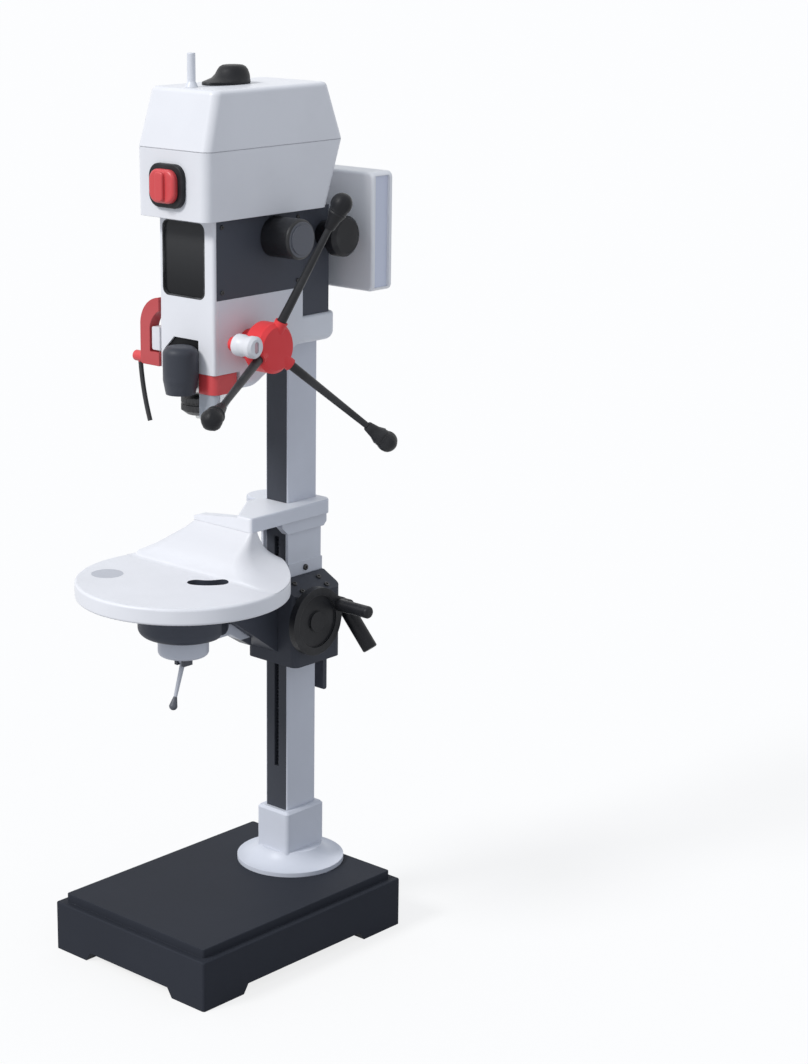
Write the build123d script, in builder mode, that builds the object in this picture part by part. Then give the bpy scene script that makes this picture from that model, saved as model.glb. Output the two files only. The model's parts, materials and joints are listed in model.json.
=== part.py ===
"""Pillar drill: floor stand, belt-driven head with a rack-fed quill, and a rack-lifted round table.

Millimetres. +X is the machine's right, +Y its back, +Z up. The origin is the middle of the base's
underside, on the floor.
"""

import math
import os

from build123d import *

os.makedirs("parts", exist_ok=True)

# Fits
running_gap = 0.05
sliding_gap = 0.3
turning_gap = 0.4

# Base casting
base_width = 406.0
base_length = 546.0
base_skirt_height = 97.0
base_step_height = 17.0
base_step_margin = 15.0
base_wall = 16.0
base_deck = 20.0
base_corner_radius = 5.0
base_edge_radius = 3.0
foot_width = 85.0
foot_length = 105.0
arch_height = 18.0
arch_slope = 12.0
floor_bolt_span_x = 330.0
floor_bolt_span_y = 470.0
floor_bolt_radius = 5.1
floor_bolt_depth = 30.0

# Column and its foot
column_width = 58.0
column_depth = 80.0
column_wall = 6.0
column_corner = 3.0
column_setback = 101.0
rail_thickness = 18.0
rail_lip = 3.0
socket_wall = 13.0
socket_height = 118.0
socket_chamfer = 5.0
socket_corner = 8.0
flange_radius = 106.0
flange_lip = 9.0
bell_height = 34.0
bell_neck_radius = 62.0
foot_bolt_circle_radius = 78.0
foot_bolt_radius = 5.0
foot_bolt_bite = 8.0
bolt_head_radius = 9.0
bolt_head_height = 7.0

# Rack and pinion teeth
tooth_module = 2.5
tooth_addendum = 0.8 * tooth_module
tooth_dedendum = 1.1 * tooth_module
tooth_backlash = 0.15
tooth_flank = math.tan(math.radians(20))
tooth_pitch = math.pi * tooth_module

# Head levels and outline
nose_bottom = 1143.0
nose_height = 135.0
bay_height = 145.0
skirt_height = 123.0
crown_height = 104.0
belly_drop = 35.0
belly_front = -38.0
belly_rear = 18.0
belly_bevel = 16.0
ring_rise = 25.0
ring_height = 54.0
casting_wall = 18.0
ring_wall = 14.0
ring_lead = 28.0
ring_corner = 24.0
ring_top_edge = 6.0
ring_low_edge = 18.0
head_half_width = 70.0
head_front = -104.0
front_skin = 4.0
front_depth = 12.0
front_corner = 6.0
panel_lead = 5.0
bay_gap = 4.0
panel_thickness = 4.0
deck_thickness = 10.0
deck_margin = 1.0
shaft_clearance = 3.0
sleeve_clearance = 4.0
deck_drop = 4.0
shroud_half_width = 64.0
shroud_overhang = 33.0
shroud_wall = 4.0

# Window and niche in the front cover
window_width = 107.0
window_height = 136.0
window_x = -6.5
window_corner = 14.0
glass_lap = 5.0
glass_thickness = 3.0
niche_left = -57.0
niche_right = 30.0
niche_height = 60.0
niche_bevel = 24.0
liner_lap = 5.0

# Belt cover
cover_front = -140.0
cover_foot_half_width = 89.0
cover_foot_rear = 177.0
cover_seam_half_width = 91.0
cover_seam_rear = 218.0
cover_top_half_width = 85.0
cover_top_front = -110.0
cover_top_rear = 182.0
cover_wall = 4.0
cover_corner = 18.0
cover_top_edge = 10.0
joint_inset = 1.5
joint_width = 2.0
seam_groove = 1.2

# Spindle, quill and chuck
spindle_y = -70.0
spindle_radius = 12.0
spline_radius = 10.0
spline_top_margin = 97.0
quill_radius = 25.0
quill_bore = 17.0
quill_reach = 39.0
quill_length = 208.0
quill_rack_depth = 22.0
quill_travel = 100.0
quill_bearing_height = 14.0
quill_bearing_inset = 3.0
chuck_radius = 36.0
chuck_height = 30.0
chuck_nose_height = 8.0
chuck_nose_radius = 26.0
chuck_gap = 6.0
jaw_radius = 9.0
jaw_grip_radius = 5.0
jaw_reach = 8.0
jaw_depth = 10.0
jaw_slit = 3.0

# Feed capstan
feed_teeth = 26
feed_rise = 48.0
feed_shaft_radius = 12.0
feed_pinion_width = 24.0
hub_radius = 46.0
hub_length = 48.0
hub_bevel = 7.0
hub_collar_radius = 28.0
hub_offset = 26.0
lever_boss_radius = 12.0
lever_boss_reach = 54.0
lever_root_radius = 8.5
lever_tip_radius = 6.0
lever_reach = 270.0
lever_spread = 116.0
lever_phase = 76.0
lever_count = 3
grip_ball_radius = 20.0
grip_neck_radius = 9.0
grip_neck_length = 30.0
spring_box_radius = 42.0
spring_box_length = 32.0
spring_box_wall = 5.0
spring_inner_radius = 20.0

# White setting knob on an arm of the capstan's hub
setting_arm_angle = 169.0
setting_arm_reach = 77.0
setting_arm_radius = 6.5
setting_eye_radius = 13.0
setting_eye_inset = 8.0
setting_eye_width = 14.0
setting_radius = 20.0
setting_waist_radius = 18.0
setting_length = 46.0
setting_flange = 12.0
setting_slot_width = 10.0
setting_slot_length = 21.0
setting_slot_depth = 3.0
small_pin_radius = 6.0
small_pin_length = 18.0

# Guard
guard_right = 70.0
guard_front = -104.0
guard_inner_end = 30.0
guard_band = 5.0
guard_height = 36.0
guard_corner = 16.0
guard_pivot_x = 62.0
guard_pivot_y = -47.0
guard_knuckle_radius = 6.0
guard_pin_radius = 3.0
guard_pin_bite = 14.0
shield_thickness = 2.5
shield_drop = 44.0
shield_rear_drop = 6.0

# Round housing in the niche
light_x = 13.0
light_y = -133.0
light_radius = 32.0
light_foot_radius = 27.0
light_taper = 26.0
light_drop = 35.0
light_height = 87.0
light_dome = 14.0
light_lens_radius = 20.0
light_lens_depth = 5.0
light_mount_half_width = 24.0
light_mount_rise = 9.0
light_mount_height = 34.0

# Bracket, boss and lock lever on the left of the nose
bracket_depth = 24.0
bracket_front = -107.0
bracket_reach = 49.0
bracket_band = 25.0
bracket_height = 127.0
bracket_inner_rise = 72.0
bracket_boss_gap = 4.0
bracket_boss_depth = 20.0
lock_rise = 10.0
lock_knob_radius = 10.0
lock_knob_length = 26.0
lock_pin_radius = 4.0
lock_pin_length = 15.0
lock_lever_radius = 4.5
lock_lever_drop = 119.0
lock_lever_lean = 24.0
lock_lever_bow = 4.0

# Knobs on the right of the head
speed_y = 52.0
speed_rise = 102.0
speed_radius = 37.0
speed_length = 68.0
speed_edge = 6.0
speed_face_radius = 27.0
speed_face_thickness = 2.0
tension_inset = 15.0
tension_rise = 92.0
tension_foot_radius = 24.0
tension_neck_radius = 30.0
tension_neck_length = 35.0
tension_disc_radius = 38.0
tension_disc_length = 26.0
tension_edge = 7.0

# Main switch
switch_x = -5.0
switch_rise = 59.0
switch_width = 86.0
switch_height = 78.0
switch_corner = 24.0
switch_thickness = 9.0
switch_knob_width = 64.0
switch_knob_height = 60.0
switch_knob_corner = 20.0
switch_knob_thickness = 11.0
switch_ridge_width = 20.0
switch_ridge_height = 52.0
switch_ridge_thickness = 6.0
switch_shaft_radius = 8.0

# Post and latch on top of the cover
post_x = -8.0
post_y = -79.0
post_radius = 7.5
post_foot_radius = 12.0
post_foot_height = 10.0
post_height = 60.0
latch_x = -14.0
latch_y = 31.0
latch_radius = 37.0
latch_plate = 7.0
latch_dome_foot = 31.0
latch_dome_top = 20.0
latch_dome_height = 26.0
latch_tongue_reach = 70.0
latch_tongue_width = 34.0
latch_pin_radius = 5.0

# Box behind the head
box_half_width = 133.0
box_stand_off = 45.0
box_depth = 53.0
box_drop = 18.0
box_height = 222.0
box_corner = 12.0
box_wall = 3.0
box_rim = 7.0
box_recess = 5.0
box_arm_half_width = 35.0
box_arm_rise = 70.0
box_arm_height = 70.0

# Motor and belt drive
motor_inset = 76.0
motor_radius = 55.0
motor_length = 113.0
motor_edge = 8.0
motor_shaft_radius = 9.0
motor_shaft_bite = 30.0
motor_pulley_radius = 32.0
spindle_pulley_radius = 45.0
pulley_height = 25.0
pulley_rise = 32.0
pulley_flange = 3.0
pulley_flange_height = 3.0
belt_thickness = 5.0
sleeve_radius = 18.0
sleeve_drop = 24.0
sleeve_rise = 77.0
sleeve_bearing_radius = 22.0

# Screws
clamp_bolt_radius = 4.0
clamp_bolt_span = 46.0
screw_radius = 3.5
screw_height = 2.5
screw_inset = 14.0

# Table carriage
yoke_low = 829.0
yoke_height = 28.0
yoke_right = 60.0
yoke_left = -45.0
yoke_front = 0.0
yoke_nose_width = 36.0
yoke_taper_length = 96.0
yoke_wall = 12.0
yoke_corner = 18.0
yoke_nose_corner = 7.0
yoke_edge = 4.0
lip_left = -92.0
lip_depth = 20.0
lip_end_height = 12.0
lip_rise_start = -80.0
ear_reach = 43.0
ear_front = 119.0
ear_length = 78.0
ear_thickness = 12.0
ear_corner = 34.0
under_collar_half_width = 45.0
under_collar_front = 100.0
under_collar_height = 28.0
under_collar_bevel = 16.0
sleeve_wall = 6.0
sleeve_band_height = 26.0
sleeve_band_rise = 2.0
carriage_sleeve_height = 117.0

# Lift housing
housing_left = -42.0
housing_right = 88.0
housing_lead = 30.0
housing_wall = 9.0
housing_height = 164.0
housing_corner = 14.0
housing_slope_width = 46.0
housing_slope_drop = 24.0
tail_left = 12.0
tail_width = 24.0
tail_stand_off = 5.0
tail_thickness = 11.0
tail_drop = 86.0
tail_lap = 40.0
lift_teeth = 16
lift_drop = 69.0
lift_pinion_width = 9.0
lift_shaft_radius = 8.0
lift_rack_width = 11.0
lift_rack_recess = 8.0
lift_up = 110.0
lift_down = 290.0
rack_end_margin = 34.0
wheel_radius = 66.0
wheel_thickness = 14.0
wheel_hub_radius = 20.0
wheel_hub_length = 30.0
wheel_dish_radius = 51.0
crank_lobe_radius = 14.0
wheel_dish_depth = 4.0
crank_radius = 62.0
crank_phase = 20.0
crank_grip_radius = 12.0
crank_grip_length = 80.0
clamp_inset = 2.0
clamp_rise = 5.0
clamp_boss_radius = 17.0
clamp_boss_length = 20.0
clamp_boss_rise = 3.0
clamp_hub_length = 18.0
clamp_arm_radius = 15.0
clamp_arm_out = 56.0
clamp_arm_back = 11.0
clamp_arm_drop = 76.0
clamp_end_edge = 3.0

# Table
table_y = -120.0
table_radius = 200.0
table_top = 756.0
table_thickness = 32.0
table_edge = 5.0
neck_sink = 0.5
# Rise of each section of the neck above the table, then its left, right, front and rear, and its corner
neck_sections = (
    (0.0, -206.0, 200.0, -92.0, 96.0, 40.0),
    (3.0, -198.0, 168.0, -74.0, 90.0, 40.0),
    (10.0, -187.0, 112.0, -60.0, 78.0, 36.0),
    (20.0, -167.0, 88.0, -48.0, 62.0, 30.0),
    (34.0, -145.0, 72.0, -36.0, 46.0, 24.0),
    (48.0, -123.0, 65.0, -22.0, 34.0, 16.0),
    (60.0, -106.0, 62.0, -10.0, 26.0, 10.0),
    (73.0, -92.0, 60.0, 0.0, 20.0, 6.0),
)
slot_x = 56.0
slot_y = -110.0
slot_bend_radius = 62.0
slot_bend_angle = 40.0
slot_width = 34.0
slot_turn = -46.0
insert_x = -123.0
insert_y = -196.0
insert_radius = 30.0
insert_depth = 6.0
arm_hub_radius = 85.0
arm_hub_height = 76.0
arm_hub_edge = 16.0
arm_half_width = 40.0
arm_gap = 6.0
arm_root_height = 140.0
lower_boss_radius = 48.0
lower_boss_height = 40.0
web_half_width = 16.0
web_depth = 16.0
web_lead = 25.0
web_length = 55.0
clevis_width = 26.0
clevis_height = 20.0
clevis_depth = 22.0
table_lever_thickness = 10.0
table_lever_pin_radius = 3.0
table_lever_eye_radius = 9.0
table_lever_drop = 68.0
table_lever_lean = 22.0
table_lever_end_radius = 3.5
table_knob_radius = 8.0
table_knob_length = 26.0

# Levels and places that follow from the sizes above
base_top = base_skirt_height + base_step_height
column_y = base_length / 2 - column_setback
column_front = column_y - column_depth / 2
column_rear = column_y + column_depth / 2
column_half = column_width / 2
rail_half = column_half - rail_lip
rail_back = column_front + rail_thickness
bay_rear = column_front - bay_gap
shroud_rear = column_y + shroud_overhang
tension_y = shroud_rear - tension_inset
box_front = shroud_rear + box_stand_off
motor_y = bay_rear - motor_inset
socket_top = base_top + socket_height
nose_top = nose_bottom + nose_height
bay_top = nose_top + bay_height
seam_level = bay_top + skirt_height
cover_top = seam_level + crown_height
feed_z = nose_bottom + feed_rise
light_bottom = nose_bottom - light_drop
light_mount_low = nose_bottom + light_mount_rise
bracket_low = nose_bottom
lock_z = nose_bottom + lock_rise
speed_z = nose_top + speed_rise
tension_z = nose_top + tension_rise
switch_z = bay_top + switch_rise
box_low = nose_top - box_drop
box_arm_low = box_low + box_arm_rise
belly_bottom = nose_bottom - belly_drop
ring_bottom = nose_bottom + ring_rise
ring_top = ring_bottom + ring_height
ring_rear = column_rear + ring_wall
ring_front = column_front - ring_lead
casting_front = head_front + front_depth
panel_front = casting_front - panel_lead
deck_top = bay_top - deck_drop
deck_bottom = deck_top - deck_thickness
feed_pitch_radius = feed_teeth * tooth_module / 2
feed_y = spindle_y + quill_rack_depth + feed_pitch_radius
quill_bottom = nose_bottom - quill_reach
quill_top = quill_bottom + quill_length
chuck_top = quill_bottom - chuck_gap
chuck_bottom = chuck_top - chuck_height
chuck_nose = chuck_bottom - chuck_nose_height
spline_top = deck_top + spline_top_margin
hub_inner = head_half_width + hub_offset
hub_middle = hub_inner + hub_length / 2
setting_eye_left = hub_inner + setting_eye_inset
setting_eye_right = setting_eye_left + setting_eye_width
setting_turn = math.radians(setting_arm_angle)
setting_y = feed_y + setting_arm_reach * math.cos(setting_turn)
setting_z = feed_z + setting_arm_reach * math.sin(setting_turn)
pulley_low = deck_top + pulley_rise
lift_pitch_radius = lift_teeth * tooth_module / 2
rack_tip_y = column_front + lift_rack_recess
rack_pitch_y = rack_tip_y + tooth_addendum
lift_y = rack_pitch_y - lift_pitch_radius
table_bottom = table_top - table_thickness
carriage_sleeve_bottom = yoke_low - carriage_sleeve_height
housing_top = carriage_sleeve_bottom
housing_bottom = housing_top - housing_height
housing_rear = column_rear + housing_wall
housing_front = lift_y - housing_lead
lift_z = housing_top - lift_drop
clamp_y = housing_rear - clamp_inset
clamp_z = lift_z + clamp_rise
arm_hub_bottom = table_bottom - arm_hub_height
lower_boss_bottom = arm_hub_bottom - lower_boss_height
lever_axis_z = lower_boss_bottom - clevis_height / 2
bracket_left = -head_half_width - bracket_reach
bracket_middle_y = bracket_front + bracket_depth / 2
box_rear = box_front + box_depth


def level(height):
    """Horizontal plane at a height; its sketch axes are X and Y."""
    return Plane.XY.offset(height)


def side(place):
    """Plane square to X that faces right; its sketch axes are Y and Z."""
    return Plane.YZ.offset(place)


def front(place):
    """Plane square to Y that faces the front; its sketch axes are X and Z."""
    return Plane.XZ.offset(-place)


def disc(plane, centre, radius, length, mode=Mode.ADD):
    """Round bar that starts on a plane, centred on a point of it."""
    with BuildSketch(plane) as outline:
        with Locations(centre):
            Circle(radius)
    extrude(outline.sketch, amount=length, mode=mode)


def ring(plane, centre, outer, inner, length):
    """Round tube that starts on a plane, centred on a point of it."""
    with BuildSketch(plane) as outline:
        with Locations(centre):
            Circle(outer)
            Circle(inner, mode=Mode.SUBTRACT)
    extrude(outline.sketch, amount=length)


def block(low, high, mode=Mode.ADD):
    """Box between two corners."""
    with Locations(low):
        Box(
            high[0] - low[0],
            high[1] - low[1],
            high[2] - low[2],
            align=(Align.MIN, Align.MIN, Align.MIN),
            mode=mode,
        )


def prism(plane, points, length, mode=Mode.ADD):
    """Straight-sided outline pushed out from a plane."""
    with BuildSketch(plane) as outline:
        with BuildLine():
            Polyline(*points, close=True)
        make_face()
    extrude(outline.sketch, amount=length, mode=mode)


def pad(plane, centre, width, height, corner, length, mode=Mode.ADD):
    """Rounded rectangle pushed out from a plane."""
    with BuildSketch(plane) as outline:
        with Locations(centre):
            RectangleRounded(width, height, corner)
    extrude(outline.sketch, amount=length, mode=mode)


def turned(plane, profile, axis):
    """Closed profile on a plane, turned once round an axis."""
    with BuildSketch(plane) as outline:
        with BuildLine():
            Polyline(*profile, close=True)
        make_face()
    revolve(outline.sketch, axis=axis)


def pinion(plane, centre, teeth, width, first_tooth):
    """Spur pinion whose first tooth points at an angle of the plane."""
    pitch_radius = teeth * tooth_module / 2
    root = pitch_radius - tooth_dedendum
    tip = pitch_radius + tooth_addendum
    root_half = tooth_pitch / 4 + tooth_backlash
    tip_half = tooth_pitch / 4 - tooth_backlash - tooth_addendum * tooth_flank
    with BuildSketch(plane) as outline:
        with Locations(centre):
            Circle(root)
            with PolarLocations(0, teeth, start_angle=first_tooth):
                Polygon(
                    (root - tooth_module / 2, -root_half),
                    (tip, -tip_half),
                    (tip, tip_half),
                    (root - tooth_module / 2, root_half),
                    align=None,
                )
    extrude(outline.sketch, amount=width)


def rack_gaps(plane, tip_place, facing, middle, above, below, length):
    """Cuts tooth gaps into a rack; facing is +1 where the teeth point along +Y, otherwise -1."""
    pitch_place = tip_place - facing * tooth_addendum
    root_place = pitch_place - facing * tooth_dedendum
    clear_place = tip_place + facing * tooth_addendum
    mouth_half = tooth_pitch / 4 + tooth_backlash + 2 * tooth_addendum * tooth_flank
    root_half = tooth_pitch / 4 + tooth_backlash - tooth_dedendum * tooth_flank
    first = -math.floor(below / tooth_pitch)
    last = math.floor(above / tooth_pitch)
    with BuildSketch(plane) as outline:
        for step in range(first, last + 1):
            height = middle + step * tooth_pitch
            with BuildLine():
                Polyline(
                    (clear_place, height - mouth_half),
                    (root_place, height - root_half),
                    (root_place, height + root_half),
                    (clear_place, height + mouth_half),
                    close=True,
                )
            make_face()
    extrude(outline.sketch, amount=length, mode=Mode.SUBTRACT)


# Base: a hollow casting on four corner feet, with arches between them and a raised top
with BuildPart() as base_plate:
    pad(level(0), (0, 0), base_width, base_length, base_corner_radius, base_skirt_height)
    fillet(base_plate.edges().group_by(Axis.Z)[-1], base_edge_radius)
    pad(
        level(base_skirt_height),
        (0, 0),
        base_width - 2 * base_step_margin,
        base_length - 2 * base_step_margin,
        base_corner_radius,
        base_step_height,
    )
    fillet(base_plate.faces().sort_by(Axis.Z)[-1].edges(), base_edge_radius / 2)
    hollow_top = base_top - base_deck
    inner_x = base_width / 2 - base_wall
    inner_y = base_length / 2 - base_wall
    bay_x = base_width / 2 - foot_width
    bay_y = base_length / 2 - foot_length
    block((-inner_x, -bay_y, 0), (inner_x, bay_y, hollow_top), Mode.SUBTRACT)
    block((-bay_x, -inner_y, 0), (bay_x, inner_y, hollow_top), Mode.SUBTRACT)
    arch_x = (
        (-bay_x, 0),
        (-bay_x + arch_slope, arch_height),
        (bay_x - arch_slope, arch_height),
        (bay_x, 0),
    )
    prism(front(base_length / 2), arch_x, base_length, Mode.SUBTRACT)
    arch_y = (
        (-bay_y, 0),
        (-bay_y + arch_slope, arch_height),
        (bay_y - arch_slope, arch_height),
        (bay_y, 0),
    )
    prism(side(-base_width / 2), arch_y, base_width, Mode.SUBTRACT)
    with BuildSketch(level(0)) as floor_holes:
        with GridLocations(floor_bolt_span_x, floor_bolt_span_y, 2, 2):
            Circle(floor_bolt_radius)
    extrude(floor_holes.sketch, amount=floor_bolt_depth, mode=Mode.SUBTRACT)
    with BuildSketch(level(hollow_top)) as foot_holes:
        with Locations((0, column_y)):
            with PolarLocations(foot_bolt_circle_radius, 4, start_angle=45):
                Circle(foot_bolt_radius)
    extrude(foot_holes.sketch, amount=base_deck, mode=Mode.SUBTRACT)
base_plate.part.label = "base_plate"
export_step(base_plate.part, "parts/base_plate.step")

# Bell foot with the square socket that holds the column
socket_half_x = column_half + socket_wall
socket_half_y = column_depth / 2 + socket_wall
with BuildPart() as column_foot:
    with BuildSketch(Plane.YZ) as bell:
        with BuildLine():
            foot_edge = Line((column_y, base_top), (column_y + flange_radius, base_top))
            lip = Line(foot_edge @ 1, (column_y + flange_radius, base_top + flange_lip))
            sweep_in = ThreePointArc(
                lip @ 1,
                (
                    column_y + bell_neck_radius + (flange_radius - bell_neck_radius) * 0.32,
                    base_top + flange_lip + (bell_height - flange_lip) * 0.3,
                ),
                (column_y + bell_neck_radius, base_top + bell_height),
            )
            neck = Line(sweep_in @ 1, (column_y, base_top + bell_height))
            Line(neck @ 1, foot_edge @ 0)
        make_face()
    revolve(bell.sketch, axis=Axis((0, column_y, 0), (0, 0, 1)))
    pad(
        level(base_top),
        (0, column_y),
        2 * socket_half_x,
        2 * socket_half_y,
        socket_corner,
        socket_height,
    )
    chamfer(column_foot.edges().group_by(Axis.Z)[-1], socket_chamfer)
    block(
        (-column_half, column_front, base_top),
        (column_half, column_rear, socket_top),
        Mode.SUBTRACT,
    )
    with BuildSketch(level(base_top)) as thread_holes:
        with Locations((0, column_y)):
            with PolarLocations(foot_bolt_circle_radius, 4, start_angle=45):
                Circle(foot_bolt_radius)
    extrude(thread_holes.sketch, amount=foot_bolt_bite, mode=Mode.SUBTRACT)
column_foot.part.label = "column_foot"
export_step(column_foot.part, "parts/column_foot.step")

# Screws that hold the foot, put in from under the base
with BuildPart() as foot_bolts:
    with BuildSketch(level(hollow_top)) as shanks:
        with Locations((0, column_y)):
            with PolarLocations(foot_bolt_circle_radius, 4, start_angle=45):
                Circle(foot_bolt_radius)
    extrude(shanks.sketch, amount=base_deck + foot_bolt_bite)
    with BuildSketch(level(hollow_top)) as heads:
        with Locations((0, column_y)):
            with PolarLocations(foot_bolt_circle_radius, 4, start_angle=45):
                RegularPolygon(bolt_head_radius, 6)
    extrude(heads.sketch, amount=-bolt_head_height)
foot_bolts.part.label = "foot_bolts"
export_step(foot_bolts.part, "parts/foot_bolts.step")

# Column: a box tube with a shallow channel down its front for the rail
with BuildPart() as column:
    pad(
        level(base_top),
        (0, column_y),
        column_width,
        column_depth,
        column_corner,
        ring_top - base_top,
    )
    block((-rail_half, column_front, base_top), (rail_half, rail_back, ring_top), Mode.SUBTRACT)
    block(
        (-column_half + column_wall, rail_back + column_wall, base_top),
        (column_half - column_wall, column_rear - column_wall, ring_top),
        Mode.SUBTRACT,
    )
column.part.label = "column"
export_step(column.part, "parts/column.step")

# Front rail with the slot that the lift rack sits in
rack_low = lift_z - lift_down - rack_end_margin
rack_high = lift_z + lift_up + rack_end_margin
rack_half = lift_rack_width / 2
with BuildPart() as column_rail:
    block((-rail_half, column_front, base_top), (rail_half, rail_back, ring_top))
    block((-rack_half, column_front, rack_low), (rack_half, rail_back, rack_high), Mode.SUBTRACT)
column_rail.part.label = "column_rail"
export_step(column_rail.part, "parts/column_rail.step")

with BuildPart() as lift_rack:
    block((-rack_half, rack_tip_y, rack_low), (rack_half, rail_back, rack_high))
    rack_gaps(
        side(-rack_half),
        rack_tip_y,
        -1,
        lift_z,
        lift_up + rack_end_margin - tooth_pitch,
        lift_down + rack_end_margin - tooth_pitch,
        lift_rack_width,
    )
lift_rack.part.label = "lift_rack"
export_step(lift_rack.part, "parts/lift_rack.step")

# Nose casting: quill bore, feed pinion pocket, and the ring that clamps the column
feed_pocket_radius = feed_pitch_radius + tooth_addendum + 1.5
with BuildPart() as head_casting:
    casting_outline = (
        (casting_front, nose_bottom),
        (casting_front, nose_top),
        (bay_rear, nose_top),
        (bay_rear, ring_top),
        (ring_rear, ring_top),
        (ring_rear, ring_bottom),
        (ring_front, ring_bottom),
        (belly_rear, belly_bottom + belly_bevel),
        (belly_rear - belly_bevel * 1.4, belly_bottom),
        (belly_front, belly_bottom),
        (belly_front, nose_bottom),
    )
    prism(side(-head_half_width), casting_outline, 2 * head_half_width)
    ring_edges = head_casting.edges().filter_by(Axis.Z).sort_by(Axis.Y)[-2:]
    fillet(ring_edges, ring_corner)
    ring_rims = head_casting.edges().filter_by_position(Axis.Y, bay_rear + 1, ring_rear + 1)
    fillet(ring_rims.filter_by_position(Axis.Z, ring_top - 1, ring_top + 1), ring_top_edge)
    fillet(ring_rims.filter_by_position(Axis.Z, ring_bottom - 1, ring_bottom + 1), ring_low_edge)
    belly_edges = head_casting.faces().sort_by(Axis.Z)[0].edges().filter_by(Axis.Y)
    fillet(belly_edges, belly_bevel)
    block(
        (-column_half, column_front, ring_bottom),
        (column_half, column_rear, ring_top),
        Mode.SUBTRACT,
    )
    disc(
        level(nose_bottom),
        (0, spindle_y),
        quill_radius + running_gap,
        nose_height,
        Mode.SUBTRACT,
    )
    disc(
        side(-feed_pinion_width / 2 - 1),
        (feed_y, feed_z),
        feed_pocket_radius,
        feed_pinion_width + 2,
        Mode.SUBTRACT,
    )
    disc(
        side(-head_half_width),
        (feed_y, feed_z),
        feed_shaft_radius + running_gap,
        2 * head_half_width,
        Mode.SUBTRACT,
    )
    disc(
        level(nose_bottom),
        (guard_pivot_x, guard_pivot_y),
        guard_pin_radius,
        guard_pin_bite,
        Mode.SUBTRACT,
    )
    pocket_half = head_half_width - casting_wall
    pocket_front = feed_y + feed_pocket_radius + casting_wall
    block(
        (-pocket_half, pocket_front, ring_bottom + casting_wall),
        (pocket_half, bay_rear - casting_wall, nose_top),
        Mode.SUBTRACT,
    )
head_casting.part.label = "head_casting"
export_step(head_casting.part, "parts/head_casting.step")

# White front cover: a channel with the window and the niche cut through its face
window_z = (nose_top + bay_top) / 2 - deck_drop
niche_top = nose_bottom + niche_height
niche_outline = (
    (niche_left, nose_bottom),
    (niche_left, niche_top - niche_bevel),
    (niche_left + niche_bevel, niche_top),
    (niche_right, niche_top),
    (niche_right, nose_bottom),
)
with BuildPart() as front_cover:
    block((-head_half_width, head_front, nose_bottom), (head_half_width, casting_front, bay_top))
    fillet(front_cover.edges().filter_by(Axis.Z).group_by(Axis.Y)[0], front_corner)
    cover_inner = head_half_width - front_skin
    block(
        (-cover_inner, head_front + front_skin, nose_bottom),
        (cover_inner, casting_front, bay_top),
        Mode.SUBTRACT,
    )
    pad(
        front(head_front + front_skin),
        (window_x, window_z),
        window_width,
        window_height,
        window_corner,
        front_skin,
        Mode.SUBTRACT,
    )
    prism(front(head_front + front_skin), niche_outline, front_skin, Mode.SUBTRACT)
    block(
        (-head_half_width, panel_front, nose_top),
        (head_half_width, casting_front, bay_top),
        Mode.SUBTRACT,
    )
front_cover.part.label = "front_cover"
export_step(front_cover.part, "parts/front_cover.step")

with BuildPart() as window_glass:
    pad(
        front(head_front + front_skin + glass_thickness),
        (window_x, window_z),
        window_width + 2 * glass_lap,
        window_height + 2 * glass_lap,
        window_corner + glass_lap,
        glass_thickness,
    )
window_glass.part.label = "window_glass"
export_step(window_glass.part, "parts/window_glass.step")

# Dark liner behind the niche, open where the quill and the lamp mount pass
light_mount_top = light_mount_low + light_mount_height
with BuildPart() as niche_liner:
    block(
        (niche_left - liner_lap, head_front + front_skin, nose_bottom),
        (niche_right + liner_lap, casting_front, niche_top + liner_lap),
    )
    disc(level(nose_bottom), (0, spindle_y), quill_radius + 1, nose_height, Mode.SUBTRACT)
    block(
        (-light_mount_half_width, head_front, light_mount_low),
        (light_mount_half_width, casting_front, light_mount_top),
        Mode.SUBTRACT,
    )
niche_liner.part.label = "niche_liner"
export_step(niche_liner.part, "parts/niche_liner.step")

# Dark side panels of the motor bay; the right one carries the speed knob
bay_inner = head_half_width - panel_thickness
with BuildPart() as side_panels:
    block((bay_inner, panel_front, nose_top), (head_half_width, bay_rear, bay_top))
    block((-head_half_width, panel_front, nose_top), (-bay_inner, bay_rear, bay_top))
    disc(
        side(bay_inner),
        (speed_y, speed_z),
        small_pin_radius + running_gap,
        panel_thickness,
        Mode.SUBTRACT,
    )
side_panels.part.label = "side_panels"
export_step(side_panels.part, "parts/side_panels.step")

# Screws of the side panels and of the clamp ring
with BuildPart() as head_screws:
    for screw_sign in (1, -1):
        with BuildSketch(side(screw_sign * head_half_width)) as screw_heads:
            with Locations(((panel_front + bay_rear) / 2, (nose_top + bay_top) / 2)):
                with GridLocations(
                    bay_rear - panel_front - 2 * screw_inset, bay_height - 2 * screw_inset, 2, 2
                ):
                    Circle(screw_radius)
        extrude(screw_heads.sketch, amount=screw_sign * screw_height)
    with BuildSketch(front(ring_rear)) as clamp_heads:
        with Locations((0, (ring_bottom + ring_top) / 2)):
            with GridLocations(clamp_bolt_span, 1, 2, 1):
                RegularPolygon(clamp_bolt_radius * 1.8, 6)
    extrude(clamp_heads.sketch, amount=-clamp_bolt_radius * 1.5)
head_screws.part.label = "head_screws"
export_step(head_screws.part, "parts/head_screws.step")

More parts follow.
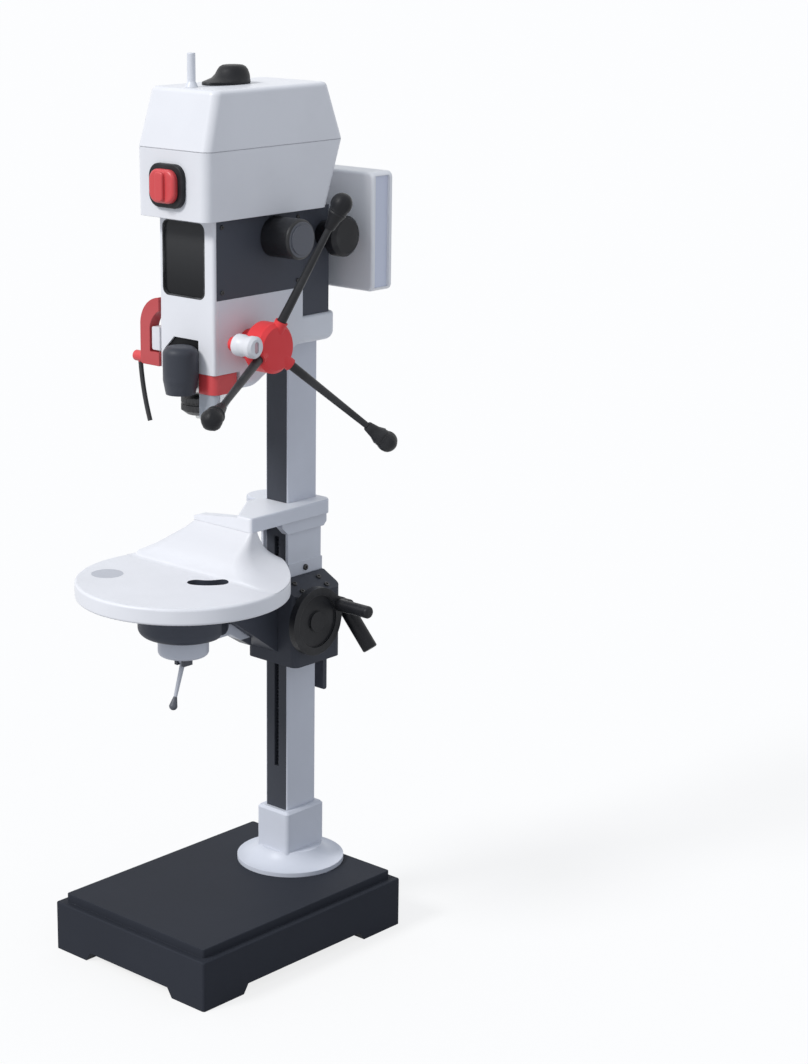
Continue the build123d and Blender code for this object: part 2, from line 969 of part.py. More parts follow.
# Deck plate under the belt cover, with the drive sleeve's bearing and the motor hung from it
deck_front = head_front + front_skin + glass_thickness + deck_margin
with BuildPart() as deck_plate:
    block((-bay_inner, deck_front, deck_bottom), (bay_inner, bay_rear, deck_top))
    disc(level(deck_bottom), (0, spindle_y), sleeve_bearing_radius, deck_thickness, Mode.SUBTRACT)
    disc(
        level(deck_bottom),
        (0, motor_y),
        motor_shaft_radius + shaft_clearance,
        deck_thickness,
        Mode.SUBTRACT,
    )
deck_plate.part.label = "deck_plate"
export_step(deck_plate.part, "parts/deck_plate.step")

with BuildPart() as sleeve_bearing:
    ring(
        level(deck_bottom),
        (0, spindle_y),
        sleeve_bearing_radius,
        sleeve_radius + running_gap,
        deck_thickness,
    )
sleeve_bearing.part.label = "sleeve_bearing"
export_step(sleeve_bearing.part, "parts/sleeve_bearing.step")

with BuildPart() as motor:
    disc(level(deck_bottom - motor_length), (0, motor_y), motor_radius, motor_length)
    fillet(motor.edges().group_by(Axis.Z)[0], motor_edge)
    disc(
        level(deck_bottom - motor_shaft_bite),
        (0, motor_y),
        motor_shaft_radius + running_gap,
        motor_shaft_bite,
        Mode.SUBTRACT,
    )
motor.part.label = "motor"
export_step(motor.part, "parts/motor.step")

def pulley(centre, radius, bore):
    """Flat-belt pulley with a low flange at each end."""
    ring(level(pulley_low), centre, radius, bore, pulley_height)
    ring(level(pulley_low), centre, radius + pulley_flange, bore, pulley_flange_height)
    upper_flange = pulley_low + pulley_height - pulley_flange_height
    ring(level(upper_flange), centre, radius + pulley_flange, bore, pulley_flange_height)


shaft_low = deck_bottom - motor_shaft_bite + 1
with BuildPart() as motor_pulley:
    disc(level(shaft_low), (0, motor_y), motor_shaft_radius, pulley_low + pulley_height - shaft_low)
    pulley((0, motor_y), motor_pulley_radius, motor_shaft_radius)
motor_pulley.part.label = "motor_pulley"
export_step(motor_pulley.part, "parts/motor_pulley.step")

with BuildPart() as spindle_pulley:
    pulley((0, spindle_y), spindle_pulley_radius, sleeve_radius)
    ring(
        level(deck_bottom - sleeve_drop),
        (0, spindle_y),
        sleeve_radius,
        spline_radius + running_gap,
        deck_thickness + sleeve_drop + sleeve_rise,
    )
spindle_pulley.part.label = "spindle_pulley"
export_step(spindle_pulley.part, "parts/spindle_pulley.step")

# Belt round the two pulleys, between their flanges
belt_low = pulley_low + pulley_flange_height + turning_gap
belt_height = pulley_height - 2 * pulley_flange_height - 2 * turning_gap
with BuildPart() as drive_belt:
    with BuildSketch(level(belt_low)) as belt_outside:
        with Locations((0, spindle_y)):
            Circle(spindle_pulley_radius + turning_gap + belt_thickness)
        with Locations((0, motor_y)):
            Circle(motor_pulley_radius + turning_gap + belt_thickness)
        make_hull()
    extrude(belt_outside.sketch, amount=belt_height)
    with BuildSketch(level(belt_low)) as belt_inside:
        with Locations((0, spindle_y)):
            Circle(spindle_pulley_radius + turning_gap)
        with Locations((0, motor_y)):
            Circle(motor_pulley_radius + turning_gap)
        make_hull()
    extrude(belt_inside.sketch, amount=belt_height, mode=Mode.SUBTRACT)
drive_belt.part.label = "drive_belt"
export_step(drive_belt.part, "parts/drive_belt.step")

# Dark shroud behind the motor bay, over the column's top, with the arm that carries the box
shroud_inner = shroud_half_width - shroud_wall
with BuildPart() as rear_shroud:
    block((-shroud_half_width, bay_rear, ring_top), (shroud_half_width, shroud_rear, bay_top))
    block(
        (-shroud_inner, bay_rear + shroud_wall, ring_top),
        (shroud_inner, shroud_rear - shroud_wall, bay_top - shroud_wall),
        Mode.SUBTRACT,
    )
    disc(
        side(shroud_inner),
        (tension_y, tension_z),
        small_pin_radius + running_gap,
        shroud_wall,
        Mode.SUBTRACT,
    )
    block(
        (-box_arm_half_width, shroud_rear, box_arm_low),
        (box_arm_half_width, box_front, box_arm_low + box_arm_height),
    )
rear_shroud.part.label = "rear_shroud"
export_step(rear_shroud.part, "parts/rear_shroud.step")


def cover_section(height, half_width, front_edge, rear_edge, inset, corner):
    """Rounded rectangle of the belt cover at a height, drawn in by an inset."""
    with BuildSketch(level(height)) as section:
        with Locations((0, (front_edge + rear_edge) / 2)):
            RectangleRounded(
                2 * (half_width - inset), rear_edge - front_edge - 2 * inset, corner - inset
            )
    return section.sketch


# Belt cover: a lower tray and a lid that meet at the seam
with BuildPart() as cover_tray:
    loft(
        (
            cover_section(bay_top, cover_foot_half_width, cover_front, cover_foot_rear, 0, cover_corner),
            cover_section(
                seam_level - seam_groove,
                cover_seam_half_width,
                cover_front,
                cover_seam_rear,
                0,
                cover_corner,
            ),
        ),
        ruled=True,
    )
    loft(
        (
            cover_section(
                bay_top + cover_wall,
                cover_foot_half_width,
                cover_front,
                cover_foot_rear,
                cover_wall,
                cover_corner,
            ),
            cover_section(
                seam_level - seam_groove,
                cover_seam_half_width,
                cover_front,
                cover_seam_rear,
                cover_wall,
                cover_corner,
            ),
        ),
        ruled=True,
        mode=Mode.SUBTRACT,
    )
    disc(level(bay_top), (0, spindle_y), sleeve_radius + sleeve_clearance, cover_wall, Mode.SUBTRACT)
    disc(level(bay_top), (0, motor_y), motor_shaft_radius + shaft_clearance, cover_wall, Mode.SUBTRACT)
    disc(
        front(cover_front + cover_wall),
        (switch_x, switch_z),
        switch_shaft_radius + 1,
        cover_wall,
        Mode.SUBTRACT,
    )
cover_tray.part.label = "cover_tray"
export_step(cover_tray.part, "parts/cover_tray.step")

with BuildPart() as cover_lid:
    loft(
        (
            cover_section(
                seam_level, cover_seam_half_width, cover_front, cover_seam_rear, 0, cover_corner
            ),
            cover_section(
                cover_top, cover_top_half_width, cover_top_front, cover_top_rear, 0, cover_corner
            ),
        ),
        ruled=True,
    )
    fillet(cover_lid.faces().sort_by(Axis.Z)[-1].edges(), cover_top_edge)
    loft(
        (
            cover_section(
                seam_level,
                cover_seam_half_width,
                cover_front,
                cover_seam_rear,
                cover_wall,
                cover_corner,
            ),
            cover_section(
                cover_top - cover_wall,
                cover_top_half_width,
                cover_top_front,
                cover_top_rear,
                cover_wall,
                cover_corner,
            ),
        ),
        ruled=True,
        mode=Mode.SUBTRACT,
    )
    with BuildSketch(level(seam_level - seam_groove)) as joint_rim:
        with Locations((0, (cover_front + cover_seam_rear) / 2)):
            lip_width = 2 * (cover_seam_half_width - joint_inset)
            lip_length = cover_seam_rear - cover_front - 2 * joint_inset
            lip_corner = cover_corner - joint_inset
            RectangleRounded(lip_width, lip_length, lip_corner)
            RectangleRounded(
                lip_width - 2 * joint_width,
                lip_length - 2 * joint_width,
                lip_corner - joint_width,
                mode=Mode.SUBTRACT,
            )
    extrude(joint_rim.sketch, amount=seam_groove)
    disc(
        level(cover_top - cover_wall),
        (latch_x, latch_y),
        latch_pin_radius + running_gap,
        cover_wall,
        Mode.SUBTRACT,
    )
cover_lid.part.label = "cover_lid"
export_step(cover_lid.part, "parts/cover_lid.step")

# Post and latch knob on the lid
with BuildPart() as top_post:
    turned(
        side(post_x),
        (
            (post_y, cover_top),
            (post_y + post_foot_radius, cover_top),
            (post_y + post_radius, cover_top + post_foot_height),
            (post_y + post_radius, cover_top + post_height),
            (post_y, cover_top + post_height),
        ),
        Axis((post_x, post_y, 0), (0, 0, 1)),
    )
    fillet(top_post.edges().group_by(Axis.Z)[-1], post_radius / 4)
top_post.part.label = "top_post"
export_step(top_post.part, "parts/top_post.step")

latch_low = cover_top + turning_gap
with BuildPart() as top_latch:
    disc(level(latch_low), (latch_x, latch_y), latch_radius, latch_plate)
    pad(
        level(latch_low),
        (latch_x, latch_y - latch_tongue_reach / 2),
        latch_tongue_width,
        latch_tongue_reach,
        latch_tongue_width / 4,
        latch_plate,
    )
    turned(
        side(latch_x),
        (
            (latch_y, latch_low),
            (latch_y + latch_dome_foot, latch_low),
            (latch_y + latch_dome_foot, latch_low + latch_plate),
            (latch_y + latch_dome_top, latch_low + latch_plate + latch_dome_height),
            (latch_y, latch_low + latch_plate + latch_dome_height),
        ),
        Axis((latch_x, latch_y, 0), (0, 0, 1)),
    )
    fillet(top_latch.edges().group_by(Axis.Z)[-1], latch_plate / 2)
    disc(level(cover_top - cover_wall), (latch_x, latch_y), latch_pin_radius, cover_wall + turning_gap)
top_latch.part.label = "top_latch"
export_step(top_latch.part, "parts/top_latch.step")

# Main switch: black surround and red turning knob
with BuildPart() as switch_surround:
    pad(
        front(cover_front),
        (switch_x, switch_z),
        switch_width,
        switch_height,
        switch_corner,
        switch_thickness,
    )
    fillet(switch_surround.edges().group_by(Axis.Y)[0], switch_thickness / 3)
    disc(
        front(cover_front),
        (switch_x, switch_z),
        switch_shaft_radius + running_gap,
        switch_thickness,
        Mode.SUBTRACT,
    )
switch_surround.part.label = "switch_surround"
export_step(switch_surround.part, "parts/switch_surround.step")

switch_knob_back = cover_front - switch_thickness - turning_gap
with BuildPart() as switch_knob:
    pad(
        front(switch_knob_back),
        (switch_x, switch_z),
        switch_knob_width,
        switch_knob_height,
        switch_knob_corner,
        switch_knob_thickness,
    )
    fillet(switch_knob.edges().group_by(Axis.Y)[0], switch_knob_thickness / 2)
    pad(
        front(switch_knob_back - switch_knob_thickness),
        (switch_x, switch_z),
        switch_ridge_width,
        switch_ridge_height,
        switch_ridge_width / 3,
        switch_ridge_thickness,
    )
    fillet(switch_knob.edges().group_by(Axis.Y)[0], switch_ridge_thickness / 2)
    disc(
        front(switch_knob_back + switch_thickness),
        (switch_x, switch_z),
        switch_shaft_radius,
        switch_thickness,
    )
switch_knob.part.label = "switch_knob"
export_step(switch_knob.part, "parts/switch_knob.step")

# White box behind the head, open underneath
with BuildPart() as control_box:
    block(
        (-box_half_width, box_front, box_low),
        (box_half_width, box_rear, box_low + box_height),
    )
    fillet(control_box.edges().filter_by(Axis.Y), box_corner)
    fillet(control_box.faces().sort_by(Axis.Y)[0].edges(), box_corner / 2)
    block(
        (-box_half_width + box_corner, box_front + box_wall, box_low),
        (box_half_width - box_corner, box_rear - box_wall, box_low + box_height - box_wall),
        Mode.SUBTRACT,
    )
    block(
        (box_half_width - box_recess, box_front + box_rim, box_low + box_rim),
        (box_half_width, box_rear - box_rim, box_low + box_height - box_rim),
        Mode.SUBTRACT,
    )
control_box.part.label = "control_box"
export_step(control_box.part, "parts/control_box.step")

# Quill: a sleeve with rack teeth down its back, sliding in the nose
with BuildPart() as quill:
    ring(level(quill_bottom), (0, spindle_y), quill_radius, quill_bore, quill_length)
    rack_face = spindle_y + quill_rack_depth + tooth_addendum
    block(
        (-quill_radius, rack_face, feed_z - 3 * tooth_pitch),
        (quill_radius, spindle_y + quill_radius, quill_top),
        Mode.SUBTRACT,
    )
    rack_gaps(
        side(-quill_radius),
        rack_face,
        1,
        feed_z,
        quill_travel + 2 * tooth_pitch,
        2 * tooth_pitch,
        2 * quill_radius,
    )
quill.part.label = "quill"
export_step(quill.part, "parts/quill.step")

quill_bearing_low = quill_bottom + quill_bearing_inset
quill_bearing_high = quill_top - quill_bearing_inset - quill_bearing_height
with BuildPart() as quill_bearings:
    for bearing_level in (quill_bearing_low, quill_bearing_high):
        ring(
            level(bearing_level),
            (0, spindle_y),
            quill_bore,
            spindle_radius + running_gap,
            quill_bearing_height,
        )
quill_bearings.part.label = "quill_bearings"
export_step(quill_bearings.part, "parts/quill_bearings.step")

with BuildPart() as spindle:
    disc(level(chuck_top), (0, spindle_y), spindle_radius, quill_top - chuck_top)
    disc(level(quill_top), (0, spindle_y), spline_radius, spline_top - quill_top)
spindle.part.label = "spindle"
export_step(spindle.part, "parts/spindle.step")

# Chuck with three jaws round the tool
with BuildPart() as chuck_body:
    disc(level(chuck_bottom), (0, spindle_y), chuck_radius, chuck_height)
    chamfer(chuck_body.edges().group_by(Axis.Z)[-1], chuck_radius / 8)
    turned(
        Plane.YZ,
        (
            (spindle_y, chuck_nose),
            (spindle_y + chuck_nose_radius, chuck_nose),
            (spindle_y + chuck_radius, chuck_bottom),
            (spindle_y, chuck_bottom),
        ),
        Axis((0, spindle_y, 0), (0, 0, 1)),
    )
    disc(
        level(chuck_nose),
        (0, spindle_y),
        jaw_radius,
        chuck_nose_height + jaw_depth,
        Mode.SUBTRACT,
    )
chuck_body.part.label = "chuck_body"
export_step(chuck_body.part, "parts/chuck_body.step")

with BuildPart() as chuck_jaws:
    jaw_bottom = chuck_nose - jaw_reach
    jaw_length = jaw_reach + chuck_nose_height + jaw_depth
    ring(level(jaw_bottom), (0, spindle_y), jaw_radius, jaw_grip_radius, jaw_length)
    with BuildSketch(level(jaw_bottom)) as jaw_slits:
        with Locations((0, spindle_y)):
            with PolarLocations(jaw_radius / 2 + 1, 3):
                Rectangle(jaw_radius + 2, jaw_slit)
    extrude(jaw_slits.sketch, amount=jaw_length, mode=Mode.SUBTRACT)
chuck_jaws.part.label = "chuck_jaws"
export_step(chuck_jaws.part, "parts/chuck_jaws.step")

# Feed shaft with its pinion, hub, levers and ball grips
spring_box_left = -head_half_width - spring_box_length
feed_shaft_left = spring_box_left + spring_box_wall + 1
with BuildPart() as feed_shaft:
    disc(side(feed_shaft_left), (feed_y, feed_z), feed_shaft_radius, hub_inner - feed_shaft_left)
    pinion(side(-feed_pinion_width / 2), (feed_y, feed_z), feed_teeth, feed_pinion_width, 180)
feed_shaft.part.label = "feed_shaft"
export_step(feed_shaft.part, "parts/feed_shaft.step")

hub_centre = Vector(hub_middle, feed_y, feed_z)
lever_length = math.hypot(lever_reach, lever_spread)
lever_axes = []
for lever_index in range(lever_count):
    lever_angle = math.radians(lever_phase + lever_index * 360 / lever_count)
    lever_axes.append(
        Vector(
            lever_spread,
            lever_reach * math.cos(lever_angle),
            lever_reach * math.sin(lever_angle),
        ).normalized()
    )

with BuildPart() as feed_hub:
    disc(side(hub_inner), (feed_y, feed_z), hub_radius, hub_length)
    chamfer(feed_hub.edges().filter_by(GeomType.CIRCLE), hub_bevel)
    collar_left = head_half_width + turning_gap
    ring(
        side(collar_left),
        (feed_y, feed_z),
        hub_collar_radius,
        feed_shaft_radius,
        hub_inner - collar_left,
    )
    for lever_axis in lever_axes:
        boss_plane = Plane(hub_centre, z_dir=lever_axis)
        disc(boss_plane, (0, 0), lever_boss_radius, lever_boss_reach)
    arm_root_x = (setting_eye_left + setting_eye_right) / 2
    arm_way = (0, math.cos(setting_turn), math.sin(setting_turn))
    arm_plane = Plane((arm_root_x, feed_y, feed_z), z_dir=arm_way)
    disc(arm_plane, (0, 0), setting_arm_radius, setting_arm_reach)
    disc(side(setting_eye_left), (setting_y, setting_z), setting_eye_radius, setting_eye_width)
    disc(
        side(setting_eye_left),
        (setting_y, setting_z),
        small_pin_radius + running_gap,
        setting_eye_width,
        Mode.SUBTRACT,
    )
feed_hub.part.label = "feed_hub"
export_step(feed_hub.part, "parts/feed_hub.step")

grip_start = lever_length - grip_ball_radius - grip_neck_length
with BuildPart() as feed_levers:
    for lever_axis in lever_axes:
        lever_plane = Plane(hub_centre, x_dir=lever_axis, z_dir=lever_axis.cross(Vector(1, 0, 0)))
        turned(
            lever_plane,
            (
                (lever_boss_reach, 0),
                (lever_boss_reach, lever_root_radius),
                (grip_start, lever_tip_radius),
                (grip_start, 0),
            ),
            Axis(hub_centre, lever_axis),
        )
feed_levers.part.label = "feed_levers"
export_step(feed_levers.part, "parts/feed_levers.step")

with BuildPart() as feed_grips:
    for lever_axis in lever_axes:
        grip_plane = Plane(hub_centre, x_dir=lever_axis, z_dir=lever_axis.cross(Vector(1, 0, 0)))
        ball_seam = lever_length - grip_ball_radius * 0.75
        ball_seam_radius = grip_ball_radius * math.sqrt(1 - 0.75**2)
        with BuildSketch(grip_plane) as grip_profile:
            with BuildLine():
                grip_axis_line = Line((lever_length + grip_ball_radius, 0), (grip_start, 0))
                grip_foot = Line(grip_axis_line @ 1, (grip_start, grip_neck_radius))
                grip_neck = Line(grip_foot @ 1, (ball_seam, ball_seam_radius))
                ThreePointArc(
                    grip_neck @ 1,
                    (lever_length, grip_ball_radius),
                    grip_axis_line @ 0,
                )
            make_face()
        revolve(grip_profile.sketch, axis=Axis(hub_centre, lever_axis))
feed_grips.part.label = "feed_grips"
export_step(feed_grips.part, "parts/feed_grips.step")

# Return spring pack in its box on the left end of the feed shaft
with BuildPart() as spring_box:
    disc(side(spring_box_left), (feed_y, feed_z), spring_box_radius, spring_box_length)
    fillet(spring_box.edges().group_by(Axis.X)[0], spring_box_wall)
    disc(
        side(spring_box_left + spring_box_wall),
        (feed_y, feed_z),
        spring_box_radius - spring_box_wall,
        spring_box_length - spring_box_wall,
        Mode.SUBTRACT,
    )
spring_box.part.label = "spring_box"
export_step(spring_box.part, "parts/spring_box.step")

with BuildPart() as return_spring:
    ring(
        side(spring_box_left + spring_box_wall),
        (feed_y, feed_z),
        spring_box_radius - spring_box_wall,
        spring_inner_radius,
        spring_box_length - 2 * spring_box_wall,
    )
return_spring.part.label = "return_spring"
export_step(return_spring.part, "parts/return_spring.step")

# White setting knob on the hub's arm
setting_left = setting_eye_right + turning_gap
setting_right = setting_left + setting_length
with BuildPart() as setting_knob:
    turned(
        Plane.XY.offset(setting_z),
        (
            (setting_left, setting_y),
            (setting_left, setting_y + setting_radius),
            (setting_left + setting_flange, setting_y + setting_radius),
            (setting_left + setting_flange * 1.6, setting_y + setting_waist_radius),
            (setting_right - setting_flange * 1.8, setting_y + setting_waist_radius),
            (setting_right - setting_flange * 1.2, setting_y + setting_radius),
            (setting_right - setting_flange * 0.4, setting_y + setting_radius),
            (setting_right, setting_y + setting_radius - setting_flange * 0.4),
            (setting_right, setting_y),
        ),
        Axis((0, setting_y, setting_z), (1, 0, 0)),
    )
    disc(
        side(setting_eye_left),
        (setting_y, setting_z),
        small_pin_radius,
        setting_eye_width + turning_gap,
    )
    with BuildSketch(side(setting_right)) as knob_slot:
        with Locations((setting_y, setting_z)):
            SlotOverall(setting_slot_length, setting_slot_width, rotation=90)
    extrude(knob_slot.sketch, amount=-setting_slot_depth, mode=Mode.SUBTRACT)
setting_knob.part.label = "setting_knob"
export_step(setting_knob.part, "parts/setting_knob.step")

# Swinging guard: red band round the front right corner, clear shield under it, fixed pin
guard_top = nose_bottom - turning_gap
guard_bottom = guard_top - guard_height
guard_rear = guard_pivot_y - guard_knuckle_radius


def guard_strip(low, inset, thickness, height):
    """Strip bent round the front right corner, an inset in from the band's outside."""
    outer_x = guard_right - inset
    outer_y = guard_front + inset
    inner_x = outer_x - thickness
    inner_y = outer_y + thickness
    bend = guard_corner - inset
    with BuildSketch(level(low)) as plan:
        with BuildLine():
            side_run = Line((outer_x, guard_rear), (outer_x, outer_y + bend))
            corner_run = RadiusArc(side_run @ 1, (outer_x - bend, outer_y), bend)
            front_run = Line(corner_run @ 1, (guard_inner_end, outer_y))
            end_run = Line(front_run @ 1, (guard_inner_end, inner_y))
            inner_front = Line(end_run @ 1, (outer_x - bend, inner_y))
            inner_corner = RadiusArc(inner_front @ 1, (inner_x, outer_y + bend), -(bend - thickness))
            inner_side = Line(inner_corner @ 1, (inner_x, guard_rear))
            Line(inner_side @ 1, side_run @ 0)
        make_face()
    extrude(plan.sketch, amount=height)


with BuildPart() as guard_band_part:
    guard_strip(guard_bottom, 0, guard_band, guard_height)
    disc(level(guard_bottom), (guard_pivot_x, guard_pivot_y), guard_knuckle_radius, guard_height)
    block(
        (guard_right - guard_band, guard_rear - guard_knuckle_radius, guard_bottom),
        (guard_right - guard_band / 2, guard_pivot_y, guard_top),
    )
    disc(
        level(guard_bottom),
        (guard_pivot_x, guard_pivot_y),
        guard_pin_radius + running_gap,
        guard_height,
        Mode.SUBTRACT,
    )
guard_band_part.part.label = "guard_band"
export_step(guard_band_part.part, "parts/guard_band.step")

with BuildPart() as guard_shield:
    guard_strip(guard_bottom - shield_drop, 1, shield_thickness, shield_drop)
    shield_cut = (
        (guard_front - 1, guard_bottom - shield_drop - 1),
        (guard_front - 1, guard_bottom - shield_drop),
        (guard_front + guard_corner, guard_bottom - shield_drop),
        (guard_rear + 1, guard_bottom - shield_rear_drop),
        (guard_rear + 1, guard_bottom - shield_drop - 1),
    )
    prism(side(0), shield_cut, guard_right, Mode.SUBTRACT)
guard_shield.part.label = "guard_shield"
export_step(guard_shield.part, "parts/guard_shield.step")

with BuildPart() as guard_pin:
    disc(
        level(guard_bottom - turning_gap - guard_pin_radius),
        (guard_pivot_x, guard_pivot_y),
        guard_pin_radius,
        guard_height + 2 * turning_gap + guard_pin_radius + guard_pin_bite,
    )
    disc(
        level(guard_bottom - turning_gap - guard_pin_radius),
        (guard_pivot_x, guard_pivot_y),
        guard_knuckle_radius - 1,
        guard_pin_radius,
    )
guard_pin.part.label = "guard_pin"
export_step(guard_pin.part, "parts/guard_pin.step")

# Round dark housing in the niche, with a lens in its underside
light_top = light_bottom + light_height
with BuildPart() as light_housing:
    turned(
        Plane.YZ.offset(light_x),
        (
            (light_y, light_bottom),
            (light_y + light_foot_radius, light_bottom),
            (light_y + light_radius, light_bottom + light_taper),
            (light_y + light_radius, light_top),
            (light_y, light_top),
        ),
        Axis((light_x, light_y, 0), (0, 0, 1)),
    )
    fillet(light_housing.edges().group_by(Axis.Z)[-1], light_dome)
    block(
        (-light_mount_half_width, light_y, light_mount_low),
        (light_mount_half_width, casting_front, light_mount_top),
    )
    disc(level(light_bottom), (0, spindle_y), quill_radius + 1, light_height, Mode.SUBTRACT)
    disc(
        level(light_bottom),
        (light_x, light_y),
        light_lens_radius,
        light_lens_depth,
        Mode.SUBTRACT,
    )
light_housing.part.label = "light_housing"
export_step(light_housing.part, "parts/light_housing.step")

with BuildPart() as light_lens:
    disc(
        level(light_bottom + light_lens_depth / 5),
        (light_x, light_y),
        light_lens_radius,
        light_lens_depth * 4 / 5,
    )
light_lens.part.label = "light_lens"
export_step(light_lens.part, "parts/light_lens.step")

# Red bracket on the left of the nose, round a white boss, and the hand lever it carries
bracket_top = bracket_low + bracket_height
bracket_inner_low = bracket_low + bracket_band
bracket_inner_left = bracket_left + bracket_band
bracket_shoulder = bracket_low + bracket_inner_rise
with BuildPart() as side_bracket:
    with BuildSketch(front(bracket_front + bracket_depth)) as bracket_profile:
        with BuildLine():
            bracket_foot = Line((-head_half_width, bracket_low), (bracket_left, bracket_low))
            bracket_limb = Line(bracket_foot @ 1, (bracket_left, bracket_shoulder))
            bracket_bend = ThreePointArc(
                bracket_limb @ 1,
                (
                    bracket_left + bracket_reach * 0.3,
                    bracket_top - bracket_height * 0.13,
                ),
                (-head_half_width, bracket_top),
            )
            bracket_root = Line(bracket_bend @ 1, (-head_half_width, bracket_top - bracket_band))
            bracket_inside = ThreePointArc(
                bracket_root @ 1,
                (
                    bracket_inner_left + bracket_reach * 0.18,
                    bracket_top - bracket_band - bracket_height * 0.1,
                ),
                (bracket_inner_left, bracket_shoulder),
            )
            bracket_inner_limb = Line(bracket_inside @ 1, (bracket_inner_left, bracket_inner_low))
            bracket_inner_foot = Line(bracket_inner_limb @ 1, (-head_half_width, bracket_inner_low))
            Line(bracket_inner_foot @ 1, bracket_foot @ 0)
        make_face()
    extrude(bracket_profile.sketch, amount=bracket_depth)
    bracket_heel = side_bracket.edges().filter_by(Axis.Y).group_by(Axis.Z)[0].sort_by(Axis.X)[0]
    fillet(bracket_heel, bracket_band / 4)
    disc(
        side(bracket_left),
        (bracket_middle_y, lock_z),
        lock_pin_radius + running_gap,
        lock_pin_length,
        Mode.SUBTRACT,
    )
side_bracket.part.label = "side_bracket"
export_step(side_bracket.part, "parts/side_bracket.step")

with BuildPart() as side_boss:
    boss_y = bracket_middle_y - bracket_boss_depth / 2
    block(
        (bracket_inner_left + bracket_boss_gap, boss_y, bracket_inner_low + bracket_boss_gap),
        (-head_half_width, boss_y + bracket_boss_depth, bracket_shoulder),
    )
    fillet(side_boss.edges().filter_by(Axis.Y).group_by(Axis.X)[0], bracket_boss_gap)
side_boss.part.label = "side_boss"
export_step(side_boss.part, "parts/side_boss.step")

lock_right = bracket_left - turning_gap
lock_start = (lock_right - lock_knob_length / 2, bracket_middle_y, lock_z - lock_knob_radius / 2)
lock_end = (
    lock_start[0] + lock_lever_lean,
    bracket_middle_y,
    lock_z - lock_lever_drop,
)
with BuildPart() as lock_lever:
    disc(
        side(lock_right - lock_knob_length),
        (bracket_middle_y, lock_z),
        lock_knob_radius,
        lock_knob_length,
    )
    fillet(lock_lever.edges().group_by(Axis.X)[0], lock_knob_radius / 3)
    disc(
        side(lock_right),
        (bracket_middle_y, lock_z),
        lock_pin_radius,
        lock_pin_length + turning_gap,
    )
    with BuildLine() as lock_path:
        ThreePointArc(
            lock_start,
            (
                (lock_start[0] + lock_end[0]) / 2 - lock_lever_bow,
                bracket_middle_y,
                (lock_start[2] + lock_end[2]) / 2,
            ),
            lock_end,
        )
    with BuildSketch(Plane(lock_path.line @ 0, z_dir=lock_path.line % 0)) as lock_section:
        Circle(lock_lever_radius)
    sweep(lock_section.sketch, path=lock_path.line)
lock_lever.part.label = "lock_lever"
export_step(lock_lever.part, "parts/lock_lever.step")

# Knobs on the right of the head
speed_left = head_half_width + turning_gap
with BuildPart() as speed_knob:
    disc(side(speed_left), (speed_y, speed_z), speed_radius, speed_length)
    fillet(speed_knob.edges().group_by(Axis.X)[-1], speed_edge)
    disc(
        side(head_half_width - panel_thickness),
        (speed_y, speed_z),
        small_pin_radius,
        panel_thickness + turning_gap,
    )
    disc(
        side(speed_left + speed_length),
        (speed_y, speed_z),
        speed_face_radius,
        speed_face_thickness,
    )
speed_knob.part.label = "speed_knob"
export_step(speed_knob.part, "parts/speed_knob.step")

tension_left = shroud_half_width + turning_gap
tension_step = tension_left + tension_neck_length
tension_right = tension_step + tension_disc_length
with BuildPart() as tension_knob:
    turned(
        Plane.XY.offset(tension_z),
        (
            (tension_left, tension_y),
            (tension_left, tension_y + tension_foot_radius),
            (tension_step, tension_y + tension_neck_radius),
            (tension_step, tension_y + tension_disc_radius),
            (tension_right - tension_edge, tension_y + tension_disc_radius),
            (tension_right, tension_y + tension_disc_radius - tension_edge),
            (tension_right, tension_y),
        ),
        Axis((0, tension_y, tension_z), (1, 0, 0)),
    )
    disc(
        side(shroud_inner),
        (tension_y, tension_z),
        small_pin_radius,
        shroud_wall + turning_gap,
    )
tension_knob.part.label = "tension_knob"
export_step(tension_knob.part, "parts/tension_knob.step")

